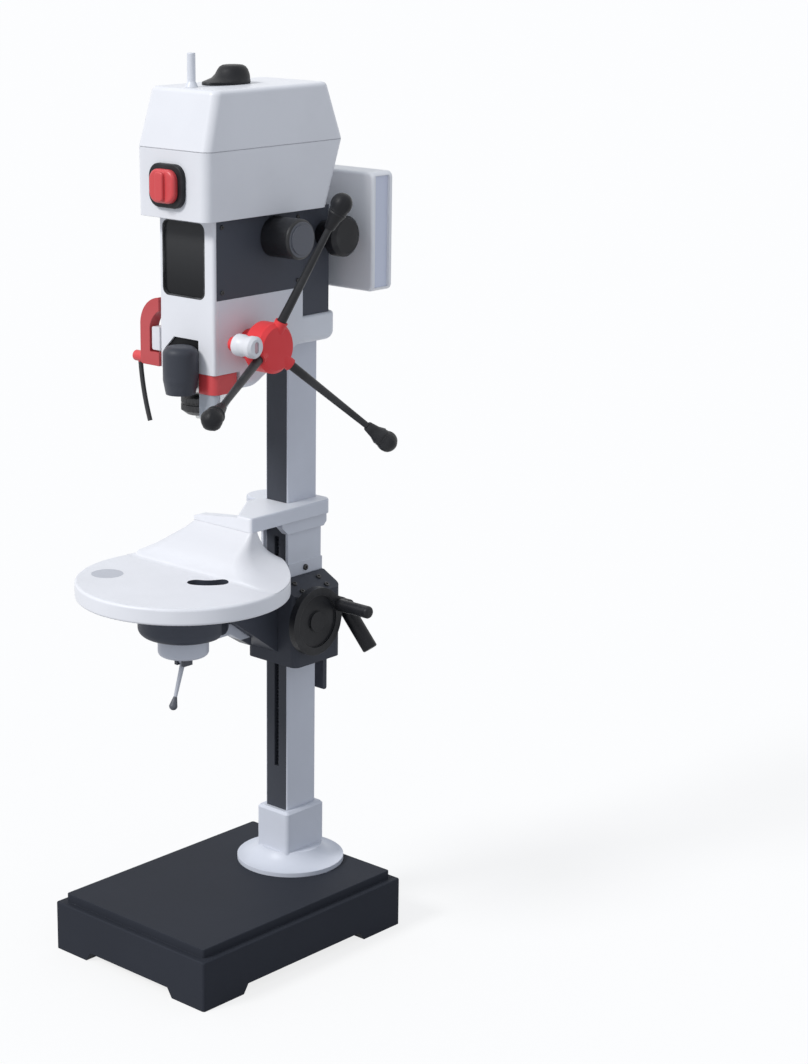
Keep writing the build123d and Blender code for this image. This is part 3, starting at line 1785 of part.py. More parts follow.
# Carriage: a yoke plate with a sleeve that slides on the column and is open at the front
passage_half = column_half + sliding_gap
passage_front = column_front - sliding_gap
passage_rear = column_rear + sliding_gap
yoke_rear = column_rear + yoke_wall
yoke_top = yoke_low + yoke_height
yoke_nose_left = yoke_right - yoke_nose_width
with BuildPart() as carriage:
    with BuildSketch(level(yoke_low)) as yoke_plan:
        with BuildLine():
            Polyline(
                (yoke_right, yoke_front),
                (yoke_right, yoke_rear),
                (yoke_left, yoke_rear),
                (yoke_left, yoke_front + yoke_taper_length),
                (yoke_nose_left, yoke_front),
                close=True,
            )
        make_face()
        fillet(yoke_plan.vertices().group_by(Axis.Y)[0], yoke_nose_corner)
        fillet(yoke_plan.vertices().group_by(Axis.Y)[-1], yoke_corner)
    extrude(yoke_plan.sketch, amount=yoke_height)
    with BuildSketch(level(yoke_top - ear_thickness)) as ear_plan:
        with Locations((yoke_left, ear_front + ear_length / 2)):
            RectangleRounded(2 * ear_reach, ear_length, ear_corner)
    extrude(ear_plan.sketch, amount=ear_thickness)
    fillet(carriage.faces().sort_by(Axis.Z)[-1].edges(), yoke_edge)
    lip_outline = (
        (lip_left, yoke_low),
        (lip_left, yoke_low + lip_end_height - yoke_edge),
        (lip_rise_start, yoke_low + lip_end_height),
        (yoke_nose_left, yoke_top - yoke_edge),
        (yoke_right - yoke_nose_corner, yoke_top - yoke_edge),
        (yoke_right - yoke_nose_corner, yoke_low),
    )
    prism(front(yoke_front + lip_depth), lip_outline, lip_depth)
    under_collar_low = yoke_low - under_collar_height
    under_collar_outline = (
        (under_collar_front, yoke_low),
        (under_collar_front, under_collar_low + under_collar_bevel),
        (under_collar_front + under_collar_bevel, under_collar_low),
        (yoke_rear - under_collar_bevel / 2, under_collar_low),
        (yoke_rear, under_collar_low + under_collar_bevel / 2),
        (yoke_rear, yoke_low),
    )
    prism(side(-under_collar_half_width), under_collar_outline, 2 * under_collar_half_width)
    sleeve_half = passage_half + sleeve_wall
    block(
        (-sleeve_half, passage_front - sleeve_wall, carriage_sleeve_bottom),
        (sleeve_half, passage_rear + sleeve_wall, yoke_low),
    )
    band_half = sleeve_half + sleeve_band_rise
    block(
        (-band_half, passage_front - sleeve_wall, carriage_sleeve_bottom),
        (
            band_half,
            passage_rear + sleeve_wall + sleeve_band_rise,
            carriage_sleeve_bottom + sleeve_band_height,
        ),
    )
    block(
        (-passage_half, under_collar_front, carriage_sleeve_bottom),
        (passage_half, passage_front, yoke_low),
        Mode.SUBTRACT,
    )
    block(
        (-passage_half, passage_front, carriage_sleeve_bottom),
        (passage_half, passage_rear, yoke_top),
        Mode.SUBTRACT,
    )
carriage.part.label = "carriage"
export_step(carriage.part, "parts/carriage.step")

# Lift housing round the column, with the pinion pocket that opens onto the rack
lift_tip_radius = lift_pitch_radius + tooth_addendum
with BuildPart() as lift_housing:
    block(
        (housing_left, housing_front, housing_bottom),
        (housing_right, housing_rear, housing_top),
    )
    fillet(lift_housing.edges().filter_by(Axis.Z), housing_corner)
    slope = (
        (housing_right - housing_slope_width, housing_top),
        (housing_right, housing_top),
        (housing_right, housing_top - housing_slope_drop),
    )
    prism(front(housing_rear), slope, housing_rear - housing_front, Mode.SUBTRACT)
    tail_front = housing_rear + tail_stand_off
    tail_rear = tail_front + tail_thickness
    block(
        (tail_left, housing_rear - housing_wall / 2, housing_bottom),
        (tail_left + tail_width, tail_rear, housing_bottom + tail_lap),
    )
    block(
        (tail_left, tail_front, housing_bottom - tail_drop),
        (tail_left + tail_width, tail_rear, housing_bottom),
    )
    tail_toe = lift_housing.edges().filter_by(Axis.X).group_by(Axis.Z)[0]
    fillet(tail_toe, tail_thickness / 3)
    disc(
        side(housing_right - clamp_boss_length),
        (clamp_y, clamp_z),
        clamp_boss_radius,
        clamp_boss_length + clamp_boss_rise,
    )
    block(
        (-passage_half, passage_front, housing_bottom),
        (passage_half, passage_rear, housing_top),
        Mode.SUBTRACT,
    )
    disc(
        side(-lift_pinion_width / 2 - 1),
        (lift_y, lift_z),
        lift_tip_radius + 1,
        lift_pinion_width + 2,
        Mode.SUBTRACT,
    )
    shaft_left = housing_left + housing_wall
    disc(
        side(shaft_left),
        (lift_y, lift_z),
        lift_shaft_radius + running_gap,
        housing_right - shaft_left,
        Mode.SUBTRACT,
    )
    disc(
        side(housing_right + clamp_boss_rise - small_pin_length),
        (clamp_y, clamp_z),
        small_pin_radius + running_gap,
        small_pin_length,
        Mode.SUBTRACT,
    )
lift_housing.part.label = "lift_housing"
export_step(lift_housing.part, "parts/lift_housing.step")

# Lift shaft with its pinion, wheel and crank grip
wheel_left = housing_right + turning_gap
with BuildPart() as lift_shaft:
    disc(side(shaft_left + 1), (lift_y, lift_z), lift_shaft_radius, wheel_left - shaft_left - 1)
    pinion(side(-lift_pinion_width / 2), (lift_y, lift_z), lift_teeth, lift_pinion_width, 0)
lift_shaft.part.label = "lift_shaft"
export_step(lift_shaft.part, "parts/lift_shaft.step")

wheel_right = wheel_left + wheel_hub_length
crank_angle = math.radians(crank_phase)
crank_y = lift_y + crank_radius * math.cos(crank_angle)
crank_z = lift_z + crank_radius * math.sin(crank_angle)
with BuildPart() as lift_wheel:
    disc(side(wheel_left), (lift_y, lift_z), wheel_hub_radius, wheel_hub_length)
    with BuildSketch(side(wheel_right - wheel_thickness)) as wheel_outline:
        with Locations((lift_y, lift_z)):
            Circle(wheel_radius)
        with Locations((crank_y, crank_z)):
            Circle(crank_lobe_radius)
        make_hull()
    extrude(wheel_outline.sketch, amount=wheel_thickness)
    with BuildSketch(side(wheel_right)) as dish:
        with Locations((lift_y, lift_z)):
            Circle(wheel_dish_radius)
            Circle(wheel_hub_radius, mode=Mode.SUBTRACT)
    extrude(dish.sketch, amount=-wheel_dish_depth, mode=Mode.SUBTRACT)
    fillet(lift_wheel.faces().sort_by(Axis.X)[-1].edges(), wheel_dish_depth / 4)
lift_wheel.part.label = "lift_wheel"
export_step(lift_wheel.part, "parts/lift_wheel.step")

with BuildPart() as crank_grip:
    disc(side(wheel_right), (crank_y, crank_z), crank_grip_radius, crank_grip_length)
    fillet(crank_grip.edges().group_by(Axis.X)[-1], crank_grip_radius / 2)
crank_grip.part.label = "crank_grip"
export_step(crank_grip.part, "parts/crank_grip.step")

# Thick lever that clamps the carriage to the column
clamp_left = housing_right + clamp_boss_rise + turning_gap
clamp_reach = 2 * clamp_hub_length
clamp_root = Vector(clamp_left + clamp_hub_length / 2, clamp_y, clamp_z)
clamp_tip = clamp_root + Vector(clamp_arm_out, clamp_arm_back, -clamp_arm_drop)
with BuildPart() as clamp_lever:
    disc(side(clamp_left), (clamp_y, clamp_z), clamp_boss_radius - 1, clamp_hub_length)
    arm_run = clamp_tip - clamp_root
    disc(Plane(clamp_root, z_dir=arm_run.normalized()), (0, 0), clamp_arm_radius, arm_run.length)
    fillet(clamp_lever.edges().filter_by(GeomType.CIRCLE).sort_by(Axis.Z)[0], clamp_end_edge)
    block(
        (clamp_left - clamp_reach, clamp_y - clamp_reach, clamp_z - clamp_reach),
        (clamp_left, clamp_y + clamp_reach, clamp_z + clamp_reach),
        Mode.SUBTRACT,
    )
    pin_left = housing_right + clamp_boss_rise - small_pin_length
    disc(side(pin_left), (clamp_y, clamp_z), small_pin_radius, clamp_left - pin_left)
clamp_lever.part.label = "clamp_lever"
export_step(clamp_lever.part, "parts/clamp_lever.step")

def kidney_slot(low, depth):
    """Bent slot cut upwards from a level; its ends point to the back left."""
    turn = math.radians(slot_turn)
    bend_x = slot_x - slot_bend_radius * math.cos(turn)
    bend_y = slot_y - slot_bend_radius * math.sin(turn)
    with BuildSketch(level(low)) as kidney:
        with BuildLine(mode=Mode.PRIVATE):
            bend = CenterArc(
                (bend_x, bend_y),
                slot_bend_radius,
                slot_turn - slot_bend_angle / 2,
                slot_bend_angle,
            )
        SlotArc(bend, slot_width)
    extrude(kidney.sketch, amount=depth, mode=Mode.SUBTRACT)


# Neck of the table: wide at the disc's rear, narrow at the yoke, and held inside the disc's outline
neck_low = table_top - neck_sink
neck_height = yoke_low - neck_low
with BuildPart() as neck:
    neck_levels = []
    for rise, left, right, front_end, rear_end, corner in neck_sections:
        height = neck_low + rise * neck_height / neck_sections[-1][0]
        with BuildSketch(level(height)) as neck_level:
            with Locations(((left + right) / 2, (front_end + rear_end) / 2)):
                RectangleRounded(right - left, rear_end - front_end, corner)
        neck_levels.append(neck_level.sketch)
    loft(neck_levels)
    disc(level(neck_low), (0, table_y), table_radius, neck_height, Mode.INTERSECT)

# Round table with the neck that rises to the yoke
with BuildPart() as table:
    disc(level(table_bottom), (0, table_y), table_radius, table_thickness)
    fillet(table.edges().filter_by(GeomType.CIRCLE), table_edge)
    add(neck.part)
    kidney_slot(table_bottom, yoke_low - table_bottom)
    disc(
        level(table_top - insert_depth),
        (insert_x, insert_y),
        insert_radius,
        insert_depth,
        Mode.SUBTRACT,
    )
table.part.label = "table"
export_step(table.part, "parts/table.step")

with BuildPart() as table_insert:
    disc(level(table_top - insert_depth), (insert_x, insert_y), insert_radius, insert_depth)
table_insert.part.label = "table_insert"
export_step(table_insert.part, "parts/table_insert.step")

# Dark hub and arm under the table
arm_top = table_bottom - arm_gap
with BuildPart() as table_arm:
    disc(level(arm_hub_bottom), (0, table_y), arm_hub_radius, arm_hub_height)
    fillet(table_arm.edges().group_by(Axis.Z)[0], arm_hub_edge)
    arm_outline = (
        (table_y, arm_top),
        (housing_front, housing_top - arm_gap),
        (housing_front, housing_top - arm_root_height),
        (table_y + arm_hub_radius, arm_hub_bottom + arm_hub_edge),
        (table_y, arm_hub_bottom + arm_hub_edge),
    )
    prism(side(-arm_half_width), arm_outline, 2 * arm_half_width)
    kidney_slot(arm_hub_bottom, arm_hub_height)
table_arm.part.label = "table_arm"
export_step(table_arm.part, "parts/table_arm.step")

# Light grey boss under the hub, with the clevis and pin for the hanging lever
arm_start = table_y + arm_hub_radius
arm_start_z = arm_hub_bottom + arm_hub_edge
arm_fall = (arm_start_z - (housing_top - arm_root_height)) / (housing_front - arm_start)
web_meet = arm_start + web_lead
web_end = web_meet + web_length
web_outline = (
    (arm_start - web_lead * 2, lower_boss_bottom + web_depth),
    (arm_start - web_lead * 2, arm_hub_bottom),
    (arm_start, arm_hub_bottom),
    (web_meet, arm_start_z - web_lead * arm_fall),
    (web_end, arm_start_z - (web_lead + web_length) * arm_fall),
    (web_end, arm_start_z - (web_lead + web_length) * arm_fall - web_depth),
    (web_meet, arm_start_z - web_lead * arm_fall - web_depth * 1.3),
)
clevis_slot = table_lever_thickness + 2 * sliding_gap
with BuildPart() as lower_boss:
    disc(level(lower_boss_bottom), (0, table_y), lower_boss_radius, lower_boss_height)
    fillet(lower_boss.edges().group_by(Axis.Z)[0], arm_hub_edge / 2)
    block(
        (-clevis_width / 2, table_y - clevis_depth / 2, lower_boss_bottom - clevis_height),
        (clevis_width / 2, table_y + clevis_depth / 2, lower_boss_bottom),
    )
    block(
        (-clevis_slot / 2, table_y - clevis_depth, lower_boss_bottom - clevis_height),
        (clevis_slot / 2, table_y + clevis_depth, lower_boss_bottom),
        Mode.SUBTRACT,
    )
    disc(
        side(-clevis_width / 2),
        (table_y, lever_axis_z),
        table_lever_pin_radius,
        clevis_width,
    )
    prism(side(-web_half_width), web_outline, 2 * web_half_width)
lower_boss.part.label = "lower_boss"
export_step(lower_boss.part, "parts/lower_boss.step")

# Hanging lever and its knob
lever_root = Vector(0, table_y, lever_axis_z)
lever_tip = lever_root + Vector(0, -table_lever_lean, -table_lever_drop)
lever_run = (lever_tip - lever_root).normalized()
with BuildPart() as table_lever:
    disc(
        side(-table_lever_thickness / 2),
        (table_y, lever_axis_z),
        table_lever_eye_radius,
        table_lever_thickness,
    )
    lever_span = (lever_tip - lever_root).length
    lever_side = Plane(lever_root, x_dir=lever_run, z_dir=Vector(1, 0, 0).cross(lever_run))
    with BuildSketch(lever_side) as lever_profile:
        with BuildLine():
            Polyline(
                (table_lever_eye_radius / 2, 0),
                (table_lever_eye_radius / 2, table_lever_thickness / 2),
                (lever_span, table_lever_end_radius),
                (lever_span, 0),
                close=True,
            )
        make_face()
    revolve(lever_profile.sketch, axis=Axis(lever_root, lever_run))
    disc(
        side(-table_lever_thickness / 2),
        (table_y, lever_axis_z),
        table_lever_pin_radius + running_gap,
        table_lever_thickness,
        Mode.SUBTRACT,
    )
table_lever.part.label = "table_lever"
export_step(table_lever.part, "parts/table_lever.step")

with BuildPart() as table_lever_knob:
    with BuildSketch(lever_side) as drop_profile:
        with BuildLine():
            drop_foot = Line((lever_span, 0), (lever_span, table_lever_end_radius))
            ball_middle = lever_span + table_knob_length - table_knob_radius
            drop_cone = Line(drop_foot @ 1, (ball_middle, table_knob_radius))
            drop_ball = RadiusArc(
                drop_cone @ 1, (lever_span + table_knob_length, 0), table_knob_radius
            )
            Line(drop_ball @ 1, drop_foot @ 0)
        make_face()
    revolve(drop_profile.sketch, axis=Axis(lever_root, lever_run))
table_lever_knob.part.label = "table_lever_knob"
export_step(table_lever_knob.part, "parts/table_lever_knob.step")
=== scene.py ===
"""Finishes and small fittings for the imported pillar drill, with a plain pale studio."""

import json
import math

import bmesh
import bpy
from bpy.props import FloatProperty, FloatVectorProperty, IntProperty, PointerProperty
from mathutils import Matrix, Vector

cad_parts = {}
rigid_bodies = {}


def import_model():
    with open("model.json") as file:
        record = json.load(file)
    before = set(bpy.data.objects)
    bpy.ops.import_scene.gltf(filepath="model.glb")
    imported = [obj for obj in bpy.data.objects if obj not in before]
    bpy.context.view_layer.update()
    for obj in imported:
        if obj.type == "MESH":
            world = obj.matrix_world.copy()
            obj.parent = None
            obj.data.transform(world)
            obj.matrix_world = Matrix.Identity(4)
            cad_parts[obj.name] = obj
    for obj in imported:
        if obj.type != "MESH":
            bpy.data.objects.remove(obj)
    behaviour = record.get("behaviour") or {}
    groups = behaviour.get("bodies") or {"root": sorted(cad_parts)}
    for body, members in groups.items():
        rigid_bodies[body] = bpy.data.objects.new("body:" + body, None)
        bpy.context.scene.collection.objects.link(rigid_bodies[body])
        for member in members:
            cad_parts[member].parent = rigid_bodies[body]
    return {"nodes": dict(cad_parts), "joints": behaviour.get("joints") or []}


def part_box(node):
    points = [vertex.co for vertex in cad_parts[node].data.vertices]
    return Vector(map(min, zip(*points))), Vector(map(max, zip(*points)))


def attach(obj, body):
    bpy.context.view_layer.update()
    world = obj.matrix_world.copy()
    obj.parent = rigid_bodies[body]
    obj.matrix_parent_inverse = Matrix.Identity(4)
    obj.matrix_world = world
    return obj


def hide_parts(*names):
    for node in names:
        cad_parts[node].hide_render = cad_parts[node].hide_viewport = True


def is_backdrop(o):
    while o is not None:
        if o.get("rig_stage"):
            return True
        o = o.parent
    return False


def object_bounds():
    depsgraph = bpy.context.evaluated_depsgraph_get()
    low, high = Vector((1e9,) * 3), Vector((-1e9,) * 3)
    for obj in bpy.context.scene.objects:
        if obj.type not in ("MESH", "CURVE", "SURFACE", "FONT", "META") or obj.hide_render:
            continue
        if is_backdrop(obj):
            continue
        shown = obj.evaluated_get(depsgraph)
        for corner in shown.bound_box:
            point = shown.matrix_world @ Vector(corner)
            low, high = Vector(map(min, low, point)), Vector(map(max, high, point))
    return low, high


bl_info = {
    "name": "Pillar drill",
    "version": (1, 0, 0),
    "blender": (4, 5, 0),
    "location": "3D View > Sidebar > Pillar drill",
    "description": "Paints the pillar drill, adds its small fittings and lights it",
    "category": "Object",
}

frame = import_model()
cad_low, cad_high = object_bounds()

# Sockets of the colour mix node, which repeats its names for each kind of value
MIX_SHARE = 0
MIX_FIRST = 6
MIX_SECOND = 7
MIX_RESULT = 2

# Rays that find the edges near a shaded point, and how round each finish makes its edges
EDGE_SAMPLES = 6
COAT_EDGE = 0.0015
CASTING_EDGE = 0.002
MOULDING_EDGE = 0.0012
TWO_TONE_EDGE = 0.001
SHEET_EDGE = 0.0008
STEEL_EDGE = 0.0006
KNURL_EDGE = 0.0005

# Half the width of the fade at the end of a mask
MASK_FADE = 0.0005
SEAM_FADE = 0.0002

# Box round the table's kidney slot, whose upright walls carry a painted shade
SLOT_ACROSS = (0.0155, 0.1105)
SLOT_ALONG = (-0.1645, -0.0545)

# Where the neck's painted shade, a darker enamel that tones down its brightly lit slope, starts
# above the table's flat top, and where it is full
NECK_START = 0.0015
NECK_FULL = 0.03

# Left end and rear of the carriage's lip
LIP_END = -0.046
LIP_REAR = 0.021

# Where a colour changes: in from the box's side, up from the clevis's foot, back from the
# front of the speed knob and down from the top of the lock lever
RECESS_DEPTH = 0.0035
CLEVIS_HEIGHT = 0.020
KNOB_FACE_DEPTH = 0.0022
LEVER_END_DEPTH = 0.0205

# Heights between which the window's pane grows lighter, a painted reflection
PANE_REFLECTION = (1.272, 1.41)

# Dust on top faces, lint on the pane, rubbed plastic and rubbed steel
DUST = (0.52, 0.50, 0.46)
LINT = (0.22, 0.22, 0.22)
RUBBED_PLASTIC = (0.5, 0.5, 0.5)
RUBBED_STEEL = (0.30, 0.30, 0.31)

# Faces meeting at a greater angle show a sharp edge
SMOOTH_ANGLE = math.radians(40.0)

# Points closer than this lie on the same plane
NEAR = 1e-5

# A way that lies along no axis
SLANTED = (0.31, 0.53, 0.79)

# Head sizes of the larger screws, as shares of a panel screw's
CLAMP_SCREW_RADIUS = 1.7
SLOPE_SCREW = 1.3
BAND_SCREW_RADIUS = 1.4
BAND_SCREW_HEIGHT = 1.6

# Rows of the screws down the slope of the lift housing, as shares of its width
SLOPE_ROWS = (0.30, 0.76)

# Room round the chuck's jaws, and between the latch and the lid
JAW_ROOM = 0.0003
LATCH_ROOM = 0.0004

# Half the floor's side, how far it lies below the feet and the white that is seen of it
FLOOR_SPAN = 120.0
FLOOR_DROP = 0.0005
FLOOR_WHITE = (0.90, 0.90, 0.90)

# Width of the camera's sensor in millimetres, and how far the camera sees
SENSOR_WIDTH = 36.0
VIEW_DEPTH = 500.0


class Signal:
    """A number on a shader socket. Arithmetic on it adds Math nodes."""

    def __init__(self, paint, socket):
        self.paint = paint
        self.socket = socket

    def sum_up(self, operation, first, second):
        """Result of one Math node."""
        return self.paint.add("ShaderNodeMath", {"operation": operation}, {0: first, 1: second})

    def __add__(self, other):
        return self.sum_up("ADD", self, other)

    def __radd__(self, other):
        return self.sum_up("ADD", other, self)

    def __sub__(self, other):
        return self.sum_up("SUBTRACT", self, other)

    def __rsub__(self, other):
        return self.sum_up("SUBTRACT", other, self)

    def __mul__(self, other):
        return self.sum_up("MULTIPLY", self, other)

    def sine(self):
        return self.sum_up("SINE", self, 0.0)

    def size(self):
        return self.sum_up("ABSOLUTE", self, 0.0)

    def past(self, place, fade=MASK_FADE):
        """1 past a place, 0 before it, with a short fade between."""
        return self.ramp(place - fade, place + fade)

    def within(self, low, high):
        """1 between two places, 0 outside them."""
        return self.past(low) * (1.0 - self.past(high))

    def ramp(self, low, high, to_low=0.0, to_high=1.0):
        """Smooth step from one value to another as the number goes from low to high."""
        return self.paint.add(
            "ShaderNodeMapRange",
            {"interpolation_type": "SMOOTHSTEP"},
            {"Value": self, "From Min": low, "From Max": high, "To Min": to_low, "To Max": to_high},
        )


class Paint:
    """One procedural finish: a material, its shader and the nodes that feed the shader."""

    def __init__(self, name):
        self.material = bpy.data.materials.get(name) or bpy.data.materials.new(name)
        self.material.use_nodes = True
        self.tree = self.material.node_tree
        self.shader = self.tree.nodes["Principled BSDF"]
        self.place = self.add("ShaderNodeTexCoord", output="Object")
        self.facing = self.add("ShaderNodeNewGeometry", output="Normal")

    def add(self, kind, settings=None, sockets=None, output=0):
        """Adds a node, with its settings and what goes into its sockets, and gives one output."""
        node = self.tree.nodes.new(kind)
        for key, value in (settings or {}).items():
            setattr(node, key, value)
        for key, value in (sockets or {}).items():
            if isinstance(value, Signal):
                self.tree.links.new(value.socket, node.inputs[key])
            else:
                node.inputs[key].default_value = value
        return Signal(self, node.outputs[output])

    def axes(self, source=None):
        """X, Y and Z of the place on the machine, or of another vector."""
        split = self.add("ShaderNodeSeparateXYZ", None, {0: source or self.place}).socket.node
        return [Signal(self, output) for output in split.outputs]

    def noise(self, scale, detail=3.0, roughness=0.55, stretch=None):
        """Cloudy noise from 0 to 1, drawn out along the axes by a stretch."""
        where = self.place
        if stretch:
            where = self.add("ShaderNodeMapping", None, {"Vector": where, "Scale": stretch})
        return self.add(
            "ShaderNodeTexNoise",
            None,
            {"Vector": where, "Scale": scale, "Detail": detail, "Roughness": roughness},
        )

    def cells(self, scale):
        """Distance to the middle of the nearest of many scattered cells."""
        return self.add(
            "ShaderNodeTexVoronoi", {"feature": "F1"}, {"Vector": self.place, "Scale": scale}
        )

    def mix(self, first, second, share):
        """Colour between two colours: the first where the share is 0, the second where it is 1."""
        colours = {MIX_FIRST: first, MIX_SECOND: second}
        for key, colour in colours.items():
            if not isinstance(colour, Signal):
                colours[key] = (*colour, 1.0)
        sockets = {MIX_SHARE: share, **colours}
        return self.add("ShaderNodeMix", {"data_type": "RGBA"}, sockets, MIX_RESULT)

    def edges(self, radius):
        """Rounded normal near edges, and a mask that is 1 on the edge itself."""
        rounded = self.add("ShaderNodeBevel", {"samples": EDGE_SAMPLES}, {"Radius": radius})
        agree = self.add(
            "ShaderNodeVectorMath",
            {"operation": "DOT_PRODUCT"},
            {0: rounded, 1: self.facing},
            output="Value",
        )
        return rounded, (1.0 - agree).ramp(0.01, 0.22)

    def bump(self, height, strength, distance, normal=None):
        """Normal that follows a height over the surface."""
        sockets = {"Height": height, "Strength": strength, "Distance": distance}
        if normal:
            sockets["Normal"] = normal
        return self.add("ShaderNodeBump", None, sockets)

    def wire(self, **sockets):
        """Feeds the shader's sockets, which go by their names in lower case."""
        for name, value in sockets.items():
            target = self.shader.inputs[name.replace("_", " ").title().replace("Ior", "IOR")]
            if isinstance(value, Signal):
                self.tree.links.new(value.socket, target)
            else:
                target.default_value = value


def darker(colour, share):
    """Colour scaled by a share: darker below 1, brighter above it."""
    return tuple(channel * share for channel in colour)


def lighter(colour, share):
    """Colour moved a share of the way to white."""
    return tuple(channel + (1.0 - channel) * share for channel in colour)


def sprayed_coat(name, colour, gloss, peel, wear, dust, shine=0.5):
    """Stoved enamel: orange peel, faint cloudiness, rubbed edges and a little dust on top faces."""
    paint = Paint(name)
    rounded, edge = paint.edges(COAT_EDGE)
    cloud = paint.noise(5.5, 4.0)
    fine = paint.noise(900.0, 2.0)
    skin = paint.noise(330.0, 2.0, 0.4)
    scuffs = paint.noise(46.0, 6.0, 0.7).ramp(0.60, 0.74)
    up = paint.axes(paint.facing)[2]
    settled = up.ramp(0.75, 1.0) * paint.noise(26.0, 5.0, 0.65).ramp(0.42, 0.72) * dust
    shade = paint.mix(darker(colour, 0.955), lighter(colour, 0.025), cloud.ramp(0.3, 0.7))
    shade = paint.mix(shade, lighter(colour, 0.20), edge * scuffs * wear)
    shade = paint.mix(shade, DUST, settled)
    roughness = gloss + (cloud - 0.5) * 0.10 + scuffs * 0.05 + settled * 0.5
    normal = paint.bump(skin * 0.75 + fine * 0.25, peel, 0.00035, rounded)
    paint.wire(base_color=shade, roughness=roughness, normal=normal, specular_ior_level=shine)


def cast_coat(name, colour, gloss, grain, shine):
    """Painted casting: the sand's soft lumps show through the paint."""
    paint = Paint(name)
    rounded, edge = paint.edges(CASTING_EDGE)
    lumps = paint.noise(95.0, 3.0, 0.5)
    sand = paint.noise(420.0, 3.0, 0.6)
    cloud = paint.noise(4.2, 4.0)
    chips = paint.noise(70.0, 6.0, 0.72).ramp(0.63, 0.70)
    pits = paint.cells(160.0).ramp(0.0, 0.12, 1.0, 0.0) * paint.noise(30.0).ramp(0.5, 0.7)
    faded = lighter(colour, 0.015)
    shade = paint.mix(darker(faded, 0.95), darker(faded, 1.05), cloud.ramp(0.3, 0.7))
    shade = paint.mix(shade, darker(colour, 0.80), pits * 0.35)
    shade = paint.mix(shade, lighter(colour, 0.22), edge * chips * 0.7)
    roughness = gloss + (sand - 0.5) * 0.14 + (cloud - 0.5) * 0.08
    normal = paint.bump(lumps * 0.6 + sand * 0.4 - pits * 0.25, grain, 0.0006, rounded)
    paint.wire(base_color=shade, roughness=roughness, normal=normal, specular_ior_level=shine)


def patched(name, colour, mask):
    """Second colour on part of a finish that has been mixed already, where the mask is 1."""
    paint = Paint(name)
    shade = Signal(paint, paint.shader.inputs["Base Color"].links[0].from_socket)
    paint.wire(base_color=paint.mix(shade, colour, mask(paint)))


def slot_walls_painted_shade(paint):
    """Mask of the upright faces inside the table's kidney slot, painted dark slate as the shade in
    the slot.
    """
    x, y, _ = paint.axes()
    upright = 1.0 - paint.axes(paint.facing)[2].size().ramp(0.3, 0.5)
    return upright * x.within(*SLOT_ACROSS) * y.within(*SLOT_ALONG)


def table_neck_painted_shade(paint):
    """Mask of the neck's painted shade, from just above the table's flat top."""
    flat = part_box("table_insert")[1].z
    return paint.axes()[2].ramp(flat + NECK_START, flat + NECK_FULL)


def carriage_lip(paint):
    """Mask of the front and the left end of the carriage's lip, above the table's neck."""
    x, y, z = paint.axes()
    ahead = 1.0 - paint.axes(paint.facing)[1].ramp(-0.7, -0.4)
    tip = 1.0 - x.past(LIP_END)
    near = 1.0 - y.past(LIP_REAR)
    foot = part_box("table")[1].z
    return (ahead + tip).ramp(0.0, 1.0) * near * z.past(foot)


def painted_top_light(paint):
    """Mask of the faces that look up, which take a painted light."""
    return paint.axes(paint.facing)[2].ramp(0.8, 0.95)


def box_recess_painted_shade(paint):
    """Mask of the sunk panel in the right side of the box, which takes a painted shade."""
    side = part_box("control_box")[1].x
    outward = paint.axes(paint.facing)[0].ramp(0.8, 0.95)
    return outward * (1.0 - paint.axes()[0].past(side - RECESS_DEPTH))


def clevis(paint):
    """Mask of the fork that holds the table's lever."""
    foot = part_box("lower_boss")[0].z
    return 1.0 - paint.axes()[2].past(foot + CLEVIS_HEIGHT)


def moulded(name, colour, gloss, spark, shine=0.5):
    """Moulded plastic: fine spark-eroded grain, hand-polished high spots, light scratches."""
    paint = Paint(name)
    rounded, edge = paint.edges(MOULDING_EDGE)
    grain = paint.noise(1400.0, 2.0, 0.6)
    handled = paint.noise(14.0, 4.0, 0.6).ramp(0.45, 0.75)
    scratch = paint.noise(120.0, 5.0, 0.75, (1.0, 1.0, 9.0)).ramp(0.64, 0.72)
    shade = paint.mix(darker(colour, 0.90), lighter(colour, 0.02), handled)
    shade = paint.mix(shade, lighter(colour, 0.10), edge * 0.55)
    shade = paint.mix(shade, lighter(colour, 0.07), scratch * 0.5)
    roughness = gloss - handled * 0.08 + scratch * 0.12 + (grain - 0.5) * 0.10
    normal = paint.bump(grain, spark, 0.0002, rounded)
    paint.wire(base_color=shade, roughness=roughness, normal=normal, specular_ior_level=shine)


def ground_steel(name, colour, roughness, stretch, stain=0.3):
    """Turned or ground metal: fine lines along one way and faint oil stains."""
    paint = Paint(name)
    rounded, edge = paint.edges(STEEL_EDGE)
    lines = paint.noise(900.0, 3.0, 0.7, stretch)
    oil = paint.noise(22.0, 5.0, 0.65).ramp(0.45, 0.75)
    shade = paint.mix(darker(colour, 0.82), lighter(colour, 0.08), lines.ramp(0.3, 0.7))
    shade = paint.mix(shade, darker(colour, 0.60), oil * stain)
    shade = paint.mix(shade, lighter(colour, 0.20), edge * 0.6)
    rough = roughness + (lines - 0.5) * 0.22 + oil * 0.06
    normal = paint.bump(lines, 0.25, 0.00012, rounded)
    paint.wire(base_color=shade, metallic=1.0, roughness=rough, normal=normal)


def clear_sheet(name, colour):
    """Clear polycarbonate: faint tint, hairline scratches, brighter cut edges."""
    paint = Paint(name)
    rounded, edge = paint.edges(SHEET_EDGE)
    hair = paint.noise(160.0, 5.0, 0.8, (1.0, 1.0, 14.0)).ramp(0.62, 0.70)
    haze = paint.noise(18.0, 4.0).ramp(0.4, 0.8)
    shade = paint.mix(colour, lighter(colour, 0.5), edge)
    roughness = 0.06 + hair * 0.25 + haze * 0.05
    alpha = 0.42 + edge * 0.35 + hair * 0.12 + haze * 0.05
    paint.wire(base_color=shade, roughness=roughness, alpha=alpha, normal=rounded)


